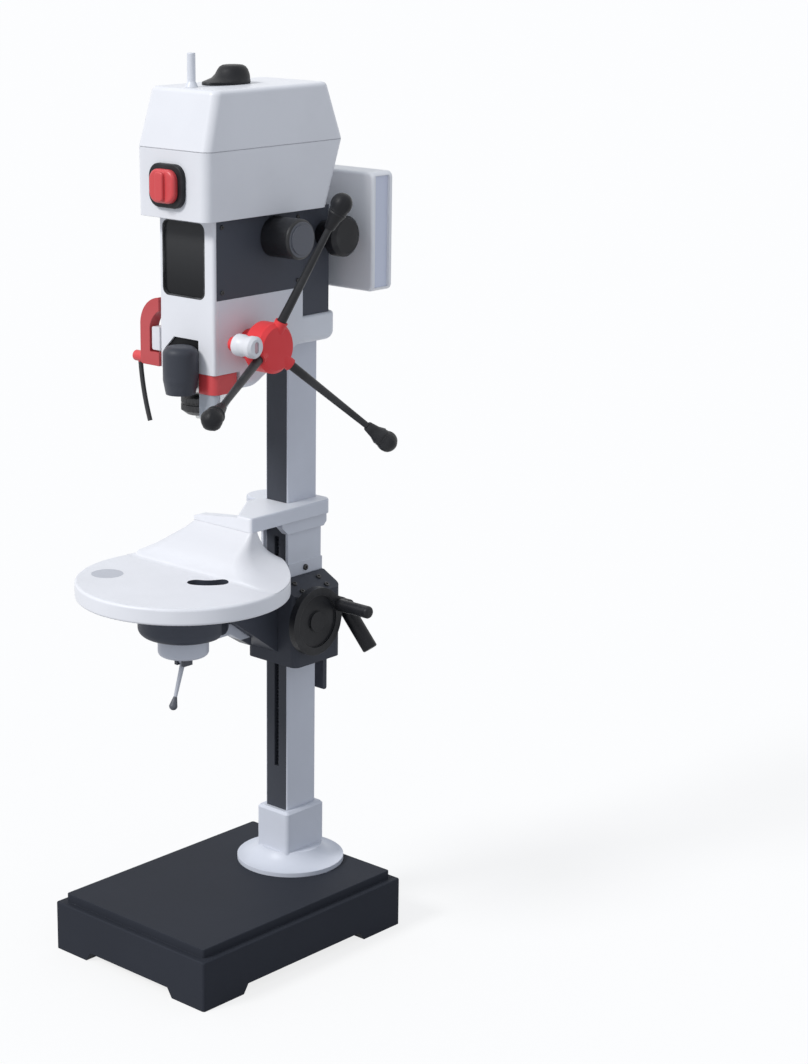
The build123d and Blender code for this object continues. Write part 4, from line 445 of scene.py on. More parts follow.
def smoked_pane(name, colour):
    """Dark window: deep gloss with finger marks that only dull the shine, and a painted reflection
    that lightens it towards the top.
    """
    paint = Paint(name)
    smears = paint.noise(34.0, 5.0, 0.7).ramp(0.5, 0.72)
    dust = paint.noise(700.0, 2.0).ramp(0.66, 0.74)
    # Painted reflection: the pane grows lighter towards its top.
    depth = paint.axes()[2].ramp(*PANE_REFLECTION)
    shade = paint.mix(colour, lighter(colour, 0.03), depth)
    shade = paint.mix(shade, LINT, dust * 0.10)
    roughness = 0.07 + smears * 0.16 + dust * 0.2
    normal = paint.bump(paint.noise(9.0, 2.0), 0.08, 0.0008)
    paint.wire(
        base_color=shade, roughness=roughness, normal=normal, specular_ior_level=0.12
    )


def rubbed_rubber(name, colour):
    """Belt rubber: woven cord texture and a dusty bloom."""
    paint = Paint(name)
    weave = (paint.axes()[2] * 2400.0).sine() * 0.5 + 0.5
    bloom = paint.noise(40.0, 4.0).ramp(0.4, 0.7)
    shade = paint.mix(colour, lighter(colour, 0.08), bloom)
    normal = paint.bump(weave, 0.3, 0.0003)
    paint.wire(base_color=shade, roughness=0.7 + bloom * 0.2, normal=normal)


def frosted_lens(name, colour):
    """Frosted lamp lens with moulded prisms."""
    paint = Paint(name)
    x, y, _ = paint.axes()
    prisms = (x * 2600.0).sine() * (y * 2600.0).sine()
    cloud = paint.noise(60.0, 3.0)
    shade = paint.mix(darker(colour, 0.9), colour, cloud.ramp(0.3, 0.7))
    normal = paint.bump(prisms, 0.4, 0.0006)
    paint.wire(base_color=shade, roughness=0.35 + cloud * 0.1, normal=normal)


def two_tone(name, first, second, axis, place, roughness):
    """Moulded piece in two colours that meet on a plane square to one axis."""
    paint = Paint(name)
    rounded, edge = paint.edges(TWO_TONE_EDGE)
    grain = paint.noise(1400.0, 2.0, 0.6)
    handled = paint.noise(14.0, 4.0, 0.6).ramp(0.45, 0.75)
    share = paint.axes()[axis].past(place, SEAM_FADE)
    shade = paint.mix(first, second, share)
    shade = paint.mix(shade, RUBBED_PLASTIC, edge * 0.06)
    normal = paint.bump(grain, 0.25, 0.0002, rounded)
    paint.wire(base_color=shade, roughness=roughness - handled * 0.08, normal=normal)


def knurled_steel(name, colour):
    """Blackened steel: worn bright on the high edges, oily in the grooves."""
    paint = Paint(name)
    rounded, edge = paint.edges(KNURL_EDGE)
    lines = paint.noise(700.0, 3.0, 0.7, (1.0, 1.0, 0.1))
    oil = paint.noise(30.0, 5.0, 0.65).ramp(0.45, 0.75)
    shade = paint.mix(darker(colour, 0.8), lighter(colour, 0.05), lines)
    shade = paint.mix(shade, RUBBED_STEEL, edge * 0.5)
    rough = 0.42 + (lines - 0.5) * 0.2 - oil * 0.1
    normal = paint.bump(lines, 0.2, 0.0001, rounded)
    paint.wire(base_color=shade, metallic=0.8, roughness=rough, normal=normal)


def length_setting(name, description, default):
    """Setting for a length in metres."""
    return FloatProperty(name=name, description=description, default=default, unit="LENGTH")


def angle_setting(name, description, degrees):
    """Setting for an angle."""
    default = math.radians(degrees)
    return FloatProperty(name=name, description=description, default=default, subtype="ANGLE")


def colour_setting(name, description, default):
    """Setting for a colour."""
    return FloatVectorProperty(name=name, description=description, default=default, subtype="COLOR")


class DrillColours(bpy.types.PropertyGroup):
    """Colours of the finishes, as linear values."""

    enamel: colour_setting(
        "Enamel", "White enamel of the covers, the box and the table", (0.80, 0.80, 0.825)
    )
    casting: colour_setting(
        "Casting", "Pale grey paint of the nose casting", (0.74, 0.76, 0.80)
    )
    column: colour_setting(
        "Column", "Grey paint of the column, its foot and the carriage", (0.60, 0.62, 0.68)
    )
    slate: colour_setting(
        "Slate",
        "Dark blue grey paint of the rail, the panels and the table's arm",
        (0.050, 0.056, 0.074),
    )
    base: colour_setting("Base", "Near black blue paint of the base", (0.0150, 0.0180, 0.0270))
    red: colour_setting(
        "Red", "Red of the bracket, the guard and the switch", (0.70, 0.066, 0.072)
    )
    # Painted light: the hub's red is a brighter copy of the red, standing in for the key light on
    # its front.
    hub: colour_setting("Hub", "Brighter red of the feed hub", (0.80, 0.050, 0.056))
    black: colour_setting(
        "Black", "Black of the knobs, grips and levers", (0.0105, 0.0112, 0.0140)
    )
    # Painted shade: the box's sunk side panel, turned away from the key light, is coloured a darker
    # blue grey.
    recess_shade: colour_setting("Recess", "Shaded panel in the side of the box", (0.67, 0.70, 0.81))
    plug: colour_setting("Plug", "Plug in the setting knob", (0.60, 0.40, 0.43))
    pane: colour_setting("Pane", "Dark pane of the window", (0.013, 0.0135, 0.015))
    shield: colour_setting("Shield", "Tint of the guard's clear shield", (0.66, 0.70, 0.76))
    lamp: colour_setting("Lamp", "Frosted lens of the work light", (0.86, 0.87, 0.84))
    alloy: colour_setting("Alloy", "Motor housing", (0.42, 0.43, 0.45))
    dial: colour_setting("Dial", "Face of the speed knob", (0.10, 0.106, 0.128))
    steel: colour_setting("Steel", "Bare ground steel", (0.60, 0.61, 0.62))


class DrillSizes(bpy.types.PropertyGroup):
    """Sizes of the small fittings."""

    gasket_width: length_setting(
        "Gasket width", "How far the window's gasket laps onto the cover", 0.0006
    )
    gasket_lip: length_setting(
        "Gasket lip", "How far the window's gasket reaches inside the opening", 0.0020
    )
    gasket_rise: length_setting(
        "Gasket rise", "How far the gasket stands out from the cover", 0.0006
    )
    window_lap: length_setting(
        "Window lap", "How far the pane laps behind the cover on each side", 0.005
    )
    window_corner: length_setting(
        "Window corner", "Corner radius of the window's opening", 0.014
    )
    screw_radius: length_setting("Screw radius", "Head radius of the panel screws", 0.0042)
    screw_height: length_setting("Screw height", "Head height of the panel screws", 0.0026)
    screw_inset: length_setting(
        "Screw inset", "Distance of a panel screw from the panel's edges", 0.014
    )
    flutes: IntProperty(
        name="Flutes",
        description="Grip flutes round each ring of the chuck",
        default=30,
    )
    flute_depth: length_setting("Flute depth", "Depth of the chuck's grip flutes", 0.0011)
    lever_reach: length_setting(
        "Lever reach", "Distance of a feed grip from the capstan's axis", 0.270
    )
    lever_spread: length_setting(
        "Lever spread", "How far a feed grip stands outside the middle of the hub", 0.116
    )
    lever_phase: angle_setting(
        "Lever phase", "Angle of the first feed lever above the back", 76.0
    )
    hub_middle: length_setting(
        "Hub middle", "Place of the hub's middle to the right of the machine's middle", 0.120
    )
    grip_radius: length_setting("Grip radius", "Radius of a feed grip's ball", 0.020)
    grip_length: length_setting("Grip length", "Length of a feed grip along its lever", 0.070)
    grip_lobes: IntProperty(
        name="Grip lobes",
        description="Lobes round the ball of a feed grip",
        default=5,
    )
    plug_length: length_setting(
        "Plug length", "Long side of the oval plug in the setting knob", 0.0200
    )
    plug_width: length_setting(
        "Plug width", "Short side of the oval plug in the setting knob", 0.0090
    )
    plug_depth: length_setting(
        "Plug depth", "How deep the plug's foot sits in the knob", 0.0028
    )
    louvres: IntProperty(
        name="Louvres",
        description="Cooling louvres in the left side panel",
        default=7,
    )
    louvre_gap: length_setting("Louvre gap", "Distance from one louvre to the next", 0.016)
    louvre_length: length_setting("Louvre length", "Length of a louvre", 0.074)
    louvre_rise: length_setting(
        "Louvre rise", "How far a louvre stands out from the panel", 0.005
    )
    housing_right: length_setting("Housing right", "Right side of the lift housing", 0.088)
    slope_width: length_setting(
        "Slope width", "Width of the slope on top of the lift housing", 0.046
    )
    slope_screws: FloatVectorProperty(
        name="Slope screws",
        description="Distances of the slope's screws from the front of the lift housing",
        size=2,
        default=(0.030, 0.098),
        unit="LENGTH",
    )
    band_height: length_setting("Band height", "Height of the band at the sleeve's foot", 0.020)
    band_screw_rise: length_setting("Band screw rise", "Height of the band's screws", 0.013)
    slope_drop: length_setting(
        "Slope drop", "Drop of the slope on top of the lift housing", 0.024
    )


class DrillStage(bpy.types.PropertyGroup):
    """Camera and light."""

    camera_place: FloatVectorProperty(
        name="Camera place",
        description="Where the camera stands",
        subtype="TRANSLATION",
        default=(3.10906, -3.12403, 2.0084),
    )
    camera_turn: angle_setting("Camera turn", "Angle of the view round the machine", 43.82)
    camera_dip: angle_setting("Camera dip", "Angle of the view below level", 15.08)
    lens: FloatProperty(
        name="Lens",
        description="Focal length on a 36 mm sensor",
        default=82.21,
    )
    shift: FloatProperty(
        name="Shift",
        description="Sideways lens shift",
        default=0.1251,
    )
    key: FloatProperty(
        name="Key",
        description="Strength of the soft key light",
        default=2.1,
    )
    key_angle: angle_setting("Key angle", "Angle that the key light spreads over", 15.0)
    key_way: FloatVectorProperty(
        name="Key way",
        description="Way the key light shines",
        default=(0.20, 0.72, -0.665),
    )
    sky: FloatProperty(
        name="Sky",
        description="Strength of the even light from all round",
        default=0.64,
    )
    sky_colour: colour_setting("Sky colour", "Colour of the even light", (0.83, 0.895, 1.0))
    floor_colour: colour_setting(
        "Floor colour", "Colour that the floor throws back onto the machine", (0.48, 0.48, 0.49)
    )
    floor_glow: FloatProperty(
        name="Floor glow",
        description="Share of plain white in what is seen of the floor",
        default=0.80,
    )


FINISH_OF_NODE = {
    "enamel": ("front_cover", "cover_tray", "cover_lid"),
    "box_lit_enamel": ("control_box",),
    "table_enamel": ("table",),
    "casting_grey": ("head_casting",),
    "column_grey": ("column", "column_foot", "spring_box"),
    "boss_grey": ("lower_boss",),
    "carriage_grey": ("carriage",),
    "slate": ("side_panels", "rear_shroud", "table_arm"),
    "rail_slate": ("column_rail",),
    "base_slate": ("base_plate",),
    "gear_slate": ("lift_housing",),
    "rack_slate": ("lift_rack",),
    "hub_lit_enamel": ("feed_hub",),
    "red_enamel": ("side_bracket",),
    "red_moulding": ("switch_knob", "guard_band"),
    "black_moulding": (
        "top_latch",
        "switch_surround",
        "tension_knob",
        "lift_wheel",
        "crank_grip",
        "clamp_lever",
        "feed_grips",
    ),
    "niche_shade_moulding": ("niche_liner",),
    "lamp_moulding": ("light_housing",),
    "slate_moulding": ("table_lever_knob",),
    "white_moulding": ("setting_knob", "side_boss"),
    "ground_steel": ("spindle", "quill", "chuck_jaws", "feed_shaft", "lift_shaft", "guard_pin"),
    "turned_steel": (
        "motor_pulley",
        "spindle_pulley",
        "sleeve_bearing",
        "quill_bearings",
        "deck_plate",
    ),
    "pale_rod": ("top_post",),
    "grey_rod": ("table_lever", "table_insert"),
    "black_rod": ("feed_levers",),
    "black_steel": ("chuck_body", "head_screws", "foot_bolts", "return_spring"),
    "smoked_pane": ("window_glass",),
    "clear_sheet": ("guard_shield",),
    "lamp_lens": ("light_lens",),
    "belt_rubber": ("drive_belt",),
    "motor_alloy": ("motor",),
    "lock_two_tone": ("lock_lever",),
    "speed_two_tone": ("speed_knob",),
}


def finish(name):
    """Finish that has been mixed already, by its name."""
    return bpy.data.materials[name]


def stand(origin, axis, start):
    """Matrix that stands a shape made along Z at a place and along an axis, its X towards start."""
    along = Vector(axis).normalized()
    across = (Vector(start) - along * along.dot(Vector(start))).normalized()
    turn = Matrix((across, along.cross(across), along)).transposed()
    return Matrix.Translation(Vector(origin)) @ turn.to_4x4()


def turned(mesh, profile, steps):
    """Spins a profile of heights and radii round Z and gives the new vertices."""
    known = set(mesh.verts)
    chain = [mesh.verts.new((radius, 0.0, height)) for height, radius in profile]
    edges = [mesh.edges.new(pair) for pair in zip(chain, chain[1:])]
    bmesh.ops.spin(
        mesh,
        geom=chain + edges,
        cent=(0.0, 0.0, 0.0),
        axis=(0.0, 0.0, 1.0),
        angle=2 * math.pi,
        steps=steps,
        use_merge=True,
    )
    return [vertex for vertex in mesh.verts if vertex not in known]


def ring_edges(verts):
    """Edges whose two ends are both among some vertices."""
    chosen = set(verts)
    edges = {edge for vertex in verts for edge in vertex.link_edges}
    return [edge for edge in edges if chosen.issuperset(edge.verts)]


def drawn_out(mesh, edges, move, stretch, centre):
    """Extrudes a ring of edges, moves the new ring and stretches it about a centre."""
    made = bmesh.ops.extrude_edge_only(mesh, edges=edges)["geom"]
    verts = [item for item in made if isinstance(item, bmesh.types.BMVert)]
    bmesh.ops.translate(mesh, vec=move, verts=verts)
    bmesh.ops.scale(mesh, vec=stretch, space=Matrix.Translation(-Vector(centre)), verts=verts)
    return ring_edges(verts)


def scallop(mesh, verts, low, high, count, share):
    """Draws in a scoop between each two ribs of a turned shape, over a band of its height."""
    groove = []
    for vertex in verts:
        turn = math.atan2(vertex.co.y, vertex.co.x) * count / (2 * math.pi)
        if low <= vertex.co.z <= high and 0.3 < turn % 1.0 < 0.9:
            groove.append(vertex)
    bmesh.ops.scale(mesh, vec=(share, share, 1.0), verts=groove)


def rounded_off(mesh, geom, radius, segments, affect="EDGES"):
    """Rounds edges, or the corners of a flat shape."""
    bmesh.ops.bevel(
        mesh,
        geom=geom,
        offset=radius,
        affect=affect,
        segments=segments,
        profile=0.5,
        material=-1,
    )


def socket_screw(mesh, origin, axis, radius, height):
    """Screw head with a domed rim and a hexagon socket."""
    known = set(mesh.verts)
    head = (
        (0.0, radius),
        (height * 0.55, radius),
        (height * 0.85, radius * 0.92),
        (height, radius * 0.76),
    )
    verts = turned(mesh, head, 24)
    rim = ring_edges([vertex for vertex in verts if vertex.co.z > height * 0.99])
    socket = bmesh.ops.create_circle(
        mesh,
        segments=6,
        radius=radius * 0.5,
        matrix=Matrix.Translation((0.0, 0.0, height)),
    )["verts"]
    hexagon = ring_edges(socket)
    bmesh.ops.bridge_loops(mesh, edges=rim + hexagon)
    floor = drawn_out(mesh, hexagon, (0.0, 0.0, -height * 0.6), (1.0, 1.0, 1.0), (0.0, 0.0, 0.0))
    bmesh.ops.edgeloop_fill(mesh, edges=floor)
    foot = ring_edges([vertex for vertex in verts if vertex.co.z < height * 0.01])
    bmesh.ops.edgeloop_fill(mesh, edges=foot)
    made = [vertex for vertex in mesh.verts if vertex not in known]
    bmesh.ops.transform(mesh, matrix=stand(origin, axis, SLANTED), verts=made)


def make_piece(name, mesh, material, body, nodes=()):
    """Turns a mesh into a piece that rides on a body and may stand for CAD nodes."""
    bmesh.ops.remove_doubles(mesh, verts=mesh.verts, dist=1e-6)
    bmesh.ops.recalc_face_normals(mesh, faces=mesh.faces)
    data = bpy.data.meshes.new(name)
    mesh.to_mesh(data)
    mesh.free()
    data.materials.append(material)
    data.shade_smooth()
    data.set_sharp_from_angle(angle=SMOOTH_ANGLE)
    piece = bpy.data.objects.new(name, data)
    bpy.context.scene.collection.objects.link(piece)
    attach(piece, body)
    if nodes:
        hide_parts(*nodes)


def joint_place(name):
    """Where a joint's axis passes, at rest."""
    return Vector(next(joint for joint in frame["joints"] if joint["name"] == name)["pos_m"])


class DRILL_OT_finishes(bpy.types.Operator):
    """Mixes the finishes and puts one on every CAD node"""

    bl_idname = "drill.finishes"
    bl_label = "Finishes"

    def execute(self, context):
        colours = context.scene.drill_colours
        self.mix_coats(colours)
        self.mix_castings(colours)
        self.mix_mouldings(colours)
        self.mix_bare(colours)
        for name, nodes in FINISH_OF_NODE.items():
            for node in nodes:
                for slot in frame["nodes"][node].material_slots:
                    slot.material = finish(name)
        return {"FINISHED"}

    def mix_coats(self, colours):
        """Smooth sprayed finishes."""
        enamel = tuple(colours.enamel)
        column = tuple(colours.column)
        cover = {"peel": 0.10, "wear": 0.5, "dust": 0.03}
        rod = {"peel": 0.10, "wear": 0.4, "dust": 0.02}
        bright = {"peel": 0.12, "wear": 0.4, "dust": 0.02}
        sprayed_coat("enamel", enamel, gloss=0.40, **cover)
        sprayed_coat("table_enamel", enamel, gloss=0.44, **cover)
        # Painted shade: the neck's slope takes a darker enamel so that it looks no brighter in the
        # key light than the flat top.
        patched("table_enamel", darker(enamel, 0.88), table_neck_painted_shade)
        # Painted shade: the slot's upright walls are coloured dark slate to show the slot as a dark
        # hole.
        patched("table_enamel", darker(colours.slate, 0.8), slot_walls_painted_shade)
        # Painted light: the box takes a paler copy of the enamel to make up for the head's shadow
        # on its front.
        sprayed_coat("box_lit_enamel", lighter(enamel, 0.4), gloss=0.40, **cover)
        # Painted shade on the sunk panel in the box's right side.
        patched("box_lit_enamel", tuple(colours.recess_shade), box_recess_painted_shade)
        # Painted light: a brighter red on the hub than on the bracket, for the light that falls on
        # it.
        sprayed_coat("hub_lit_enamel", tuple(colours.hub), gloss=0.46, shine=0.2, **bright)
        sprayed_coat("red_enamel", darker(colours.red, 0.72), gloss=0.40, **bright)
        sprayed_coat("pale_rod", lighter(column, 0.30), gloss=0.38, **rod)
        sprayed_coat("grey_rod", darker(column, 0.80), gloss=0.40, **rod)

    def mix_castings(self, colours):
        """Painted castings."""
        slate = tuple(colours.slate)
        column = tuple(colours.column)
        pale = {"gloss": 0.44, "grain": 0.16, "shine": 0.45}
        cast_coat("casting_grey", tuple(colours.casting), **pale)
        cast_coat("column_grey", column, **pale)
        cast_coat("boss_grey", column, **pale)
        patched("boss_grey", slate, clevis)
        cast_coat("carriage_grey", lighter(column, 0.10), **pale)
        # Painted light: faces that look up take a paler grey, as if lit more strongly from above.
        patched("carriage_grey", lighter(column, 0.46), painted_top_light)
        patched("carriage_grey", tuple(colours.enamel), carriage_lip)
        cast_coat("slate", slate, gloss=0.52, grain=0.22, shine=0.22)
        cast_coat("rail_slate", darker(slate, 0.68), gloss=0.52, grain=0.22, shine=0.20)
        cast_coat("gear_slate", darker(slate, 0.80), gloss=0.55, grain=0.30, shine=0.18)
        cast_coat("rack_slate", darker(slate, 0.60), gloss=0.50, grain=0.20, shine=0.20)
        cast_coat("base_slate", tuple(colours.base), gloss=0.56, grain=0.30, shine=0.05)

    def mix_mouldings(self, colours):
        """Moulded plastics."""
        black = tuple(colours.black)
        slate = tuple(colours.slate)
        red = tuple(colours.red)
        knob_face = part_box("speed_knob")[1].x - KNOB_FACE_DEPTH
        lever_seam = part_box("lock_lever")[1].z - LEVER_END_DEPTH
        lamp = lighter(darker(slate, 0.75), 0.005)
        moulded("red_moulding", red, gloss=0.40, spark=0.25)
        moulded("black_moulding", black, gloss=0.46, spark=0.35, shine=0.25)
        moulded("slate_moulding", lighter(slate, 0.05), gloss=0.46, spark=0.35, shine=0.3)
        moulded("plug_moulding", tuple(colours.plug), gloss=0.5, spark=0.25)
        # Painted shade: the niche's liner is coloured darker than the black plastics, to show the
        # gap in the niche as deep shade.
        moulded("niche_shade_moulding", darker(black, 0.6), gloss=0.62, spark=0.5, shine=0.2)
        moulded("lamp_moulding", lamp, gloss=0.50, spark=0.4, shine=0.3)
        moulded("white_moulding", lighter(colours.enamel, 0.1), gloss=0.42, spark=0.25)
        moulded("black_rod", lighter(black, 0.008), gloss=0.42, spark=0.2, shine=0.3)
        two_tone("lock_two_tone", lighter(black, 0.010), red, 2, lever_seam, 0.46)
        two_tone("speed_two_tone", black, tuple(colours.dial), 0, knob_face, 0.46)

    def mix_bare(self, colours):
        """Bare metal, clear sheets and rubber."""
        steel = tuple(colours.steel)
        black = tuple(colours.black)
        alloy = tuple(colours.alloy)
        ground_steel("ground_steel", steel, roughness=0.26, stretch=(1.0, 1.0, 24.0))
        ground_steel("turned_steel", steel, roughness=0.34, stretch=(1.0, 1.0, 30.0))
        ground_steel("motor_alloy", alloy, roughness=0.5, stretch=(1.0, 1.0, 4.0), stain=0.15)
        knurled_steel("black_steel", lighter(black, 0.03))
        smoked_pane("smoked_pane", tuple(colours.pane))
        clear_sheet("clear_sheet", tuple(colours.shield))
        frosted_lens("lamp_lens", tuple(colours.lamp))
        rubbed_rubber("belt_rubber", black)


class DRILL_OT_gasket(bpy.types.Operator):
    """Adds the rubber gasket round the window"""

    bl_idname = "drill.gasket"
    bl_label = "Window gasket"

    def execute(self, context):
        sizes = context.scene.drill_sizes
        glass_low, glass_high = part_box("window_glass")
        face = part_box("front_cover")[0].y
        middle = (glass_low + glass_high) / 2
        lap = sizes.window_lap - sizes.gasket_width
        wide = glass_high.x - glass_low.x - 2 * lap
        tall = glass_high.z - glass_low.z - 2 * lap
        mesh = bmesh.new()
        place = Matrix.Translation((middle.x, face - sizes.gasket_rise, middle.z))
        place = place @ Matrix.Rotation(math.pi / 2, 4, "X")
        place = place @ Matrix.Diagonal((wide, tall, 1.0, 1.0))
        bmesh.ops.create_grid(mesh, x_segments=1, y_segments=1, size=0.5, matrix=place)
        corner = sizes.window_corner + sizes.gasket_width
        rounded_off(mesh, mesh.verts[:], corner, 10, "VERTICES")
        pane = mesh.faces[:]
        rim = bmesh.ops.inset_region(
            mesh,
            faces=pane,
            use_boundary=True,
            use_even_offset=True,
            thickness=sizes.gasket_width + sizes.gasket_lip,
        )["faces"]
        bmesh.ops.delete(mesh, geom=pane, context="FACES")
        made = bmesh.ops.extrude_face_region(mesh, geom=rim)["geom"]
        back = [item for item in made if isinstance(item, bmesh.types.BMVert)]
        depth = sizes.gasket_rise + glass_low.y - face
        bmesh.ops.translate(mesh, vec=(0.0, depth, 0.0), verts=back)
        mesh.normal_update()
        rounding = []
        for edge in mesh.edges:
            in_front = all(vertex.co.y < face - NEAR for vertex in edge.verts)
            slants = {round(side.normal.y, 1) for side in edge.link_faces}
            if in_front and len(slants) > 1:
                rounding.append(edge)
        rounded_off(mesh, rounding, sizes.gasket_rise * 0.7, 2)
        make_piece("window_gasket", mesh, finish("belt_rubber"), "stand")
        return {"FINISHED"}


class DRILL_OT_screws(bpy.types.Operator):
    """Gives the side panels, the clamp ring, the box and the carriage socket screws"""

    bl_idname = "drill.screws"
    bl_label = "Screws"

    def execute(self, context):
        sizes = context.scene.drill_sizes
        low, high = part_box("side_panels")
        inset = sizes.screw_inset
        radius = sizes.screw_radius
        height = sizes.screw_height
        mesh = bmesh.new()
        for sign in (-1, 1):
            for y in (low.y + inset, high.y - inset):
                for z in (low.z + inset, high.z - inset):
                    socket_screw(mesh, (sign * high.x, y, z), (sign, 0, 0), radius, height)
        ring_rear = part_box("head_casting")[1].y
        heads_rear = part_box("head_screws")[1].y
        for place in self.clamp_places(ring_rear):
            reach = heads_rear - ring_rear
            socket_screw(mesh, place, (0, 1, 0), radius * CLAMP_SCREW_RADIUS, reach)
        paint = finish("black_steel")
        make_piece("head_socket_screws", mesh, paint, "stand", ("head_screws",))
        box_low, box_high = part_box("control_box")
        mesh = bmesh.new()
        for x in (box_low.x + 2 * inset, box_high.x - 2 * inset):
            for z in (box_low.z + 2 * inset, box_high.z - 2 * inset):
                socket_screw(mesh, (x, box_high.y, z), (0, 1, 0), radius, height)
        make_piece("box_screws", mesh, paint, "stand")
        self.add_carriage_screws(sizes, paint)
        return {"FINISHED"}

    def clamp_places(self, ring_rear):
        """Middles of the clamp screws' heads on the back of the ring."""
        places = []
        for sign in (-1, 1):
            group = []
            for vertex in frame["nodes"]["head_screws"].data.vertices:
                if vertex.co.y > ring_rear - NEAR and vertex.co.x * sign > 0:
                    group.append(vertex.co.copy())
            middle = sum(group, Vector()) / len(group)
            places.append((middle.x, ring_rear, middle.z))
        return places

    def add_carriage_screws(self, sizes, paint):
        """Cover screws on the housing's slope and a clamp screw on each side of the sleeve."""
        radius = sizes.screw_radius
        height = sizes.screw_height
        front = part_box("lift_housing")[0].y
        sleeve_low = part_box("carriage")[0].z
        run = Vector((sizes.slope_width, 0.0, -sizes.slope_drop))
        out = Vector((sizes.slope_drop, 0.0, sizes.slope_width))
        top = Vector((sizes.housing_right - sizes.slope_width, front, sleeve_low))
        mesh = bmesh.new()
        for share in SLOPE_ROWS:
            for along in sizes.slope_screws:
                place = top + run * share + Vector((0.0, along, 0.0))
                socket_screw(mesh, place, out, radius * SLOPE_SCREW, height * SLOPE_SCREW)
        corners = [vertex.co for vertex in frame["nodes"]["carriage"].data.vertices]
        band = [corner for corner in corners if corner.z < sleeve_low + sizes.band_height]
        band_side = max(corner.x for corner in band)
        band_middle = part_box("column")[0].y / 2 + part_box("column")[1].y / 2
        for sign in (-1, 1):
            place = (sign * band_side, band_middle, sleeve_low + sizes.band_screw_rise)
            wide = radius * BAND_SCREW_RADIUS
            socket_screw(mesh, place, (sign, 0, 0), wide, height * BAND_SCREW_HEIGHT)
        make_piece("carriage_screws", mesh, paint, "carriage")


class DRILL_OT_louvres(bpy.types.Operator):
    """Presses cooling louvres into the left side panel, beside the motor"""

    bl_idname = "drill.louvres"
    bl_label = "Louvres"

    def execute(self, context):
        sizes = context.scene.drill_sizes
        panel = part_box("side_panels")[0]
        motor_low, motor_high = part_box("motor")
        middle = (motor_low.y + motor_high.y) / 2
        rise = sizes.louvre_rise
        first = panel.z + sizes.louvre_gap * 1.4
        mesh = bmesh.new()
        for index in range(sizes.louvres):
            z = first + sizes.louvre_gap * index
            place = Matrix.Translation((panel.x - rise / 2, middle, z))
            size = (rise, sizes.louvre_length, sizes.louvre_gap * 0.62)
            place = place @ Matrix.Diagonal((*size, 1.0))
            blade = bmesh.ops.create_cube(mesh, size=1.0, matrix=place)["verts"]
            outer = [vertex for vertex in blade if vertex.co.x < panel.x - rise / 2]
            upper = [vertex for vertex in outer if vertex.co.z > z]
            lower = [vertex for vertex in outer if vertex.co.z < z]
            bmesh.ops.translate(mesh, vec=(rise * 0.9, 0.0, 0.0), verts=upper)
            bmesh.ops.scale(
                mesh,
                vec=(1.0, 0.94, 1.0),
                space=Matrix.Translation((0.0, -middle, 0.0)),
                verts=lower,
            )
        rounded_off(mesh, mesh.edges[:], rise * 0.12, 2)
        make_piece("panel_louvres", mesh, finish("slate"), "stand")
        return {"FINISHED"}


class DRILL_OT_chuck(bpy.types.Operator):
    """Shapes the chuck with fluted grip rings and a groove between them"""

    bl_idname = "drill.chuck"
    bl_label = "Chuck"

    def execute(self, context):
        sizes = context.scene.drill_sizes
        low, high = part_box("chuck_body")
        jaw_low, jaw_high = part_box("chuck_jaws")
        radius = (high.x - low.x) / 2
        tall = high.z - low.z
        bore = (jaw_high.x - jaw_low.x) / 2 + JAW_ROOM
        waist = radius * 0.93
        profile = (
            (tall * 0.30, 0.0),
            (tall * 0.30, bore),
            (tall * 0.03, bore),
            (0.0, radius * 0.62),
            (tall * 0.02, radius * 0.70),
            (tall * 0.20, radius * 0.95),
            (tall * 0.23, radius),
            (tall * 0.25, radius),
            (tall * 0.50, radius),
            (tall * 0.52, radius),
            (tall * 0.54, waist),
            (tall * 0.59, waist),
            (tall * 0.61, radius),
            (tall * 0.63, radius),
            (tall * 0.86, radius),
            (tall * 0.88, radius),
            (tall * 0.90, radius * 0.97),
            (tall * 0.98, radius * 0.90),
            (tall, radius * 0.86),
            (tall, 0.0),
        )
        mesh = bmesh.new()
        verts = turned(mesh, profile, sizes.flutes * 6)
        depth = 1.0 - sizes.flute_depth / radius
        scallop(mesh, verts, tall * 0.245, tall * 0.505, sizes.flutes, depth)
        scallop(mesh, verts, tall * 0.625, tall * 0.865, sizes.flutes, depth)
        middle = (low + high) / 2
        bmesh.ops.translate(mesh, vec=(middle.x, middle.y, low.z), verts=mesh.verts[:])
        paint = finish("black_steel")
        make_piece("chuck_shell", mesh, paint, "spindle", ("chuck_body",))
        return {"FINISHED"}


class DRILL_OT_grips(bpy.types.Operator):
    """Shapes the feed levers' grips: a flared neck, a collar and a lobed ball"""

    bl_idname = "drill.grips"
    bl_label = "Feed grips"

    def execute(self, context):
        sizes = context.scene.drill_sizes
        pivot = joint_place("feed_capstan")
        hub = Vector((sizes.hub_middle, pivot.y, pivot.z))
        ball = sizes.grip_radius
        neck = sizes.grip_length - ball
        profile = [
            (-neck, 0.0),
            (-neck, 0.40 * ball),
            (-neck * 0.97, 0.46 * ball),
            (-neck * 0.60, 0.62 * ball),
            (-neck * 0.36, 0.86 * ball),
            (-neck * 0.33, 0.80 * ball),
            (-neck * 0.30, 0.80 * ball),
            (-neck * 0.27, 0.85 * ball),
        ]
        for degrees in range(-34, 80, 14):
            turn = math.radians(degrees)
            profile.append((ball * math.sin(turn), ball * math.cos(turn)))
        profile.append((ball * 0.985, 0.0))
        mesh = bmesh.new()
        for index in range(3):
            angle = sizes.lever_phase + index * 2 * math.pi / 3
            reach = sizes.lever_reach
            span = Vector((sizes.lever_spread, reach * math.cos(angle), reach * math.sin(angle)))
            verts = turned(mesh, profile, 60)
            scallop(mesh, verts, -0.45 * ball, 0.8 * ball, sizes.grip_lobes, 0.955)
            bmesh.ops.transform(mesh, matrix=stand(hub + span, span, (1, 0, 0)), verts=verts)
        paint = finish("black_moulding")
        make_piece("feed_grip_knobs", mesh, paint, "capstan", ("feed_grips",))
        return {"FINISHED"}


